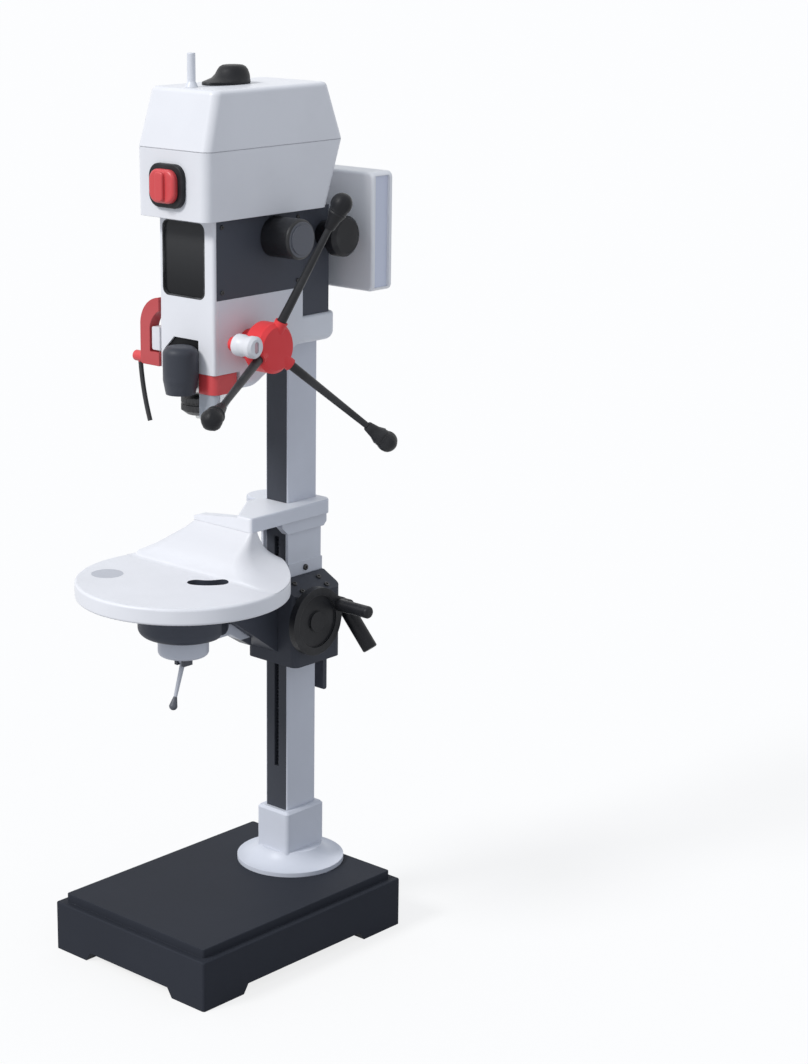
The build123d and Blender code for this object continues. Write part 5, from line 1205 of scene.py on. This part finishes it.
class DRILL_OT_latch(bpy.types.Operator):
    """Shapes the latch knob on the lid: a dome that runs out into a thumb tongue"""

    bl_idname = "drill.latch"
    bl_label = "Latch knob"

    def execute(self, context):
        low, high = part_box("top_latch")
        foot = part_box("cover_lid")[1].z + LATCH_ROOM
        half_width = (high.x - low.x) / 2
        half_length = (high.y - low.y) / 2
        tall = high.z - foot
        # Height, half width, half length and shift to the back of each ring, as shares
        rings = (
            (0.00, 0.86, 0.98, 0.00),
            (0.05, 0.88, 1.00, 0.00),
            (0.15, 0.88, 0.98, 0.01),
            (0.22, 0.86, 0.86, 0.10),
            (0.32, 0.84, 0.72, 0.22),
            (0.50, 0.80, 0.62, 0.29),
            (0.74, 0.72, 0.54, 0.31),
            (0.90, 0.62, 0.46, 0.31),
            (0.98, 0.50, 0.36, 0.31),
            (1.00, 0.38, 0.27, 0.31),
        )
        middle = (low + high) / 2
        mesh = bmesh.new()
        start = rings[0]
        place = Matrix.Translation((middle.x, middle.y, foot))
        place = place @ Matrix.Diagonal((start[1] * half_width, start[2] * half_length, 1.0, 1.0))
        bmesh.ops.create_circle(mesh, cap_ends=True, segments=64, radius=1.0, matrix=place)
        edges = mesh.edges[:]
        for before, after in zip(rings, rings[1:]):
            move = (0.0, (after[3] - before[3]) * half_length, (after[0] - before[0]) * tall)
            centre = (middle.x, middle.y + after[3] * half_length, 0.0)
            stretch = (after[1] / before[1], after[2] / before[2], 1.0)
            edges = drawn_out(mesh, edges, move, stretch, centre)
        bmesh.ops.edgeloop_fill(mesh, edges=edges)
        paint = finish("black_moulding")
        make_piece("latch_knob", mesh, paint, "top_latch", ("top_latch",))
        return {"FINISHED"}


class DRILL_OT_plug(bpy.types.Operator):
    """Sets the oval plug in the end of the white setting knob"""

    bl_idname = "drill.plug"
    bl_label = "Knob plug"

    def execute(self, context):
        sizes = context.scene.drill_sizes
        pivot = joint_place("setting_turn")
        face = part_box("setting_knob")[1].x
        mesh = bmesh.new()
        place = stand((face - sizes.plug_depth, pivot.y, pivot.z), (1, 0, 0), (0, 0, 1))
        place = place @ Matrix.Diagonal((sizes.plug_length / 2, sizes.plug_width / 2, 1.0, 1.0))
        bmesh.ops.create_circle(mesh, cap_ends=True, segments=32, radius=1.0, matrix=place)
        edges = mesh.edges[:]
        rise = sizes.plug_depth * 0.45
        edges = drawn_out(mesh, edges, (rise, 0.0, 0.0), (1.0, 1.0, 1.0), pivot)
        edges = drawn_out(mesh, edges, (rise * 0.3, 0.0, 0.0), (1.0, 0.75, 0.9), pivot)
        bmesh.ops.edgeloop_fill(mesh, edges=edges)
        make_piece("setting_plug", mesh, finish("plug_moulding"), "setting_knob")
        return {"FINISHED"}


class DRILL_OT_stage(bpy.types.Operator):
    """Sets the floor, the light and the camera"""

    bl_idname = "drill.stage"
    bl_label = "Stage"

    def execute(self, context):
        settings = context.scene.drill_stage
        scene = context.scene
        self.add_floor(settings)
        self.add_sky(scene, settings)
        key = bpy.data.lights.new("key", "SUN")
        key.energy = settings.key
        key.angle = settings.key_angle
        lamp = bpy.data.objects.new("key", key)
        lamp.rotation_euler = Vector(settings.key_way).to_track_quat("-Z", "Y").to_euler()
        scene.collection.objects.link(lamp)
        lens = bpy.data.cameras.new("camera")
        lens.lens = settings.lens
        lens.sensor_width = SENSOR_WIDTH
        lens.shift_x = settings.shift
        lens.clip_end = VIEW_DEPTH
        camera = bpy.data.objects.new("camera", lens)
        camera.location = settings.camera_place
        camera.rotation_euler = (math.pi / 2 - settings.camera_dip, 0.0, settings.camera_turn)
        scene.collection.objects.link(camera)
        scene.camera = camera
        scene.view_settings.view_transform = "Standard"
        return {"FINISHED"}

    def seen(self, tree):
        """Socket that is 1 for camera, mirror and see-through rays, and 0 for the rest."""
        path = tree.nodes.new("ShaderNodeLightPath")
        total = path.outputs["Is Camera Ray"]
        for name in ("Is Glossy Ray", "Is Transmission Ray"):
            join = tree.nodes.new("ShaderNodeMath")
            join.operation = "MAXIMUM"
            tree.links.new(total, join.inputs[0])
            tree.links.new(path.outputs[name], join.inputs[1])
            total = join.outputs[0]
        return total

    def add_sky(self, scene, settings):
        """Even light from all round, which shows as plain white where it is looked at."""
        world = bpy.data.worlds.new("studio")
        world.use_nodes = True
        tree = world.node_tree
        light = tree.nodes["Background"]
        light.inputs["Color"].default_value = (*settings.sky_colour, 1.0)
        light.inputs["Strength"].default_value = settings.sky
        white = tree.nodes.new("ShaderNodeBackground")
        white.inputs["Color"].default_value = (1.0, 1.0, 1.0, 1.0)
        white.inputs["Strength"].default_value = 1.0
        blend = tree.nodes.new("ShaderNodeMixShader")
        tree.links.new(self.seen(tree), blend.inputs[0])
        tree.links.new(light.outputs[0], blend.inputs[1])
        tree.links.new(white.outputs[0], blend.inputs[2])
        tree.links.new(blend.outputs[0], tree.nodes["World Output"].inputs["Surface"])
        scene.world = world

    def add_floor(self, settings):
        """Pale floor that looks nearly white and throws back less light than that."""
        mesh = bmesh.new()
        bmesh.ops.create_grid(mesh, x_segments=1, y_segments=1, size=FLOOR_SPAN)
        data = bpy.data.meshes.new("floor")
        mesh.to_mesh(data)
        mesh.free()
        floor = bpy.data.objects.new("floor", data)
        floor.location.z = -FLOOR_DROP
        bpy.context.scene.collection.objects.link(floor)
        paint = Paint("pale_floor")
        tree = paint.tree
        looked_at = Signal(paint, self.seen(tree))
        shade = paint.mix(tuple(settings.floor_colour), FLOOR_WHITE, looked_at)
        paint.wire(base_color=shade, roughness=0.9, specular_ior_level=0.0)
        glow = tree.nodes.new("ShaderNodeEmission")
        glow.inputs["Color"].default_value = (1.0, 1.0, 1.0, 1.0)
        glow.inputs["Strength"].default_value = 1.0
        blend = tree.nodes.new("ShaderNodeMixShader")
        tree.links.new((looked_at * settings.floor_glow).socket, blend.inputs[0])
        tree.links.new(paint.shader.outputs[0], blend.inputs[1])
        tree.links.new(glow.outputs[0], blend.inputs[2])
        tree.links.new(blend.outputs[0], tree.nodes["Material Output"].inputs["Surface"])
        data.materials.append(paint.material)
        floor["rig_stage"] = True


STEPS = (
    "finishes",
    "gasket",
    "screws",
    "louvres",
    "chuck",
    "grips",
    "latch",
    "plug",
    "stage",
)


class DRILL_PT_panel(bpy.types.Panel):
    """Buttons and settings of the pillar drill"""

    bl_idname = "DRILL_PT_panel"
    bl_label = "Pillar drill"
    bl_space_type = "VIEW_3D"
    bl_region_type = "UI"
    bl_category = "Pillar drill"

    def draw(self, context):
        column = self.layout.column()
        for step in STEPS:
            column.operator("drill." + step)
        for group in ("drill_colours", "drill_sizes", "drill_stage"):
            settings = getattr(context.scene, group)
            box = self.layout.box()
            for name in settings.__annotations__:
                box.prop(settings, name)


CLASSES = (
    DrillColours,
    DrillSizes,
    DrillStage,
    DRILL_OT_finishes,
    DRILL_OT_gasket,
    DRILL_OT_screws,
    DRILL_OT_louvres,
    DRILL_OT_chuck,
    DRILL_OT_grips,
    DRILL_OT_latch,
    DRILL_OT_plug,
    DRILL_OT_stage,
    DRILL_PT_panel,
)


def register():
    for item in CLASSES:
        bpy.utils.register_class(item)
    bpy.types.Scene.drill_colours = PointerProperty(type=DrillColours)
    bpy.types.Scene.drill_sizes = PointerProperty(type=DrillSizes)
    bpy.types.Scene.drill_stage = PointerProperty(type=DrillStage)


def unregister():
    del bpy.types.Scene.drill_stage
    del bpy.types.Scene.drill_sizes
    del bpy.types.Scene.drill_colours
    for item in reversed(CLASSES):
        bpy.utils.unregister_class(item)


def write_sizes():
    """Works out the CAD box and the box of all that shows, and keeps neither."""
    low = Vector(cad_low)
    high = Vector(cad_high)
    for piece in bpy.context.scene.objects:
        if piece.type != "MESH" or piece.hide_render or "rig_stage" in piece:
            continue
        for corner in piece.bound_box:
            place = piece.matrix_world @ Vector(corner)
            low = Vector(map(min, low, place))
            high = Vector(map(max, high, place))


def main():
    register()
    for step in STEPS:
        getattr(bpy.ops.drill, step)()
    bpy.context.view_layer.update()
    write_sizes()


if __name__ == "__main__":
    main()
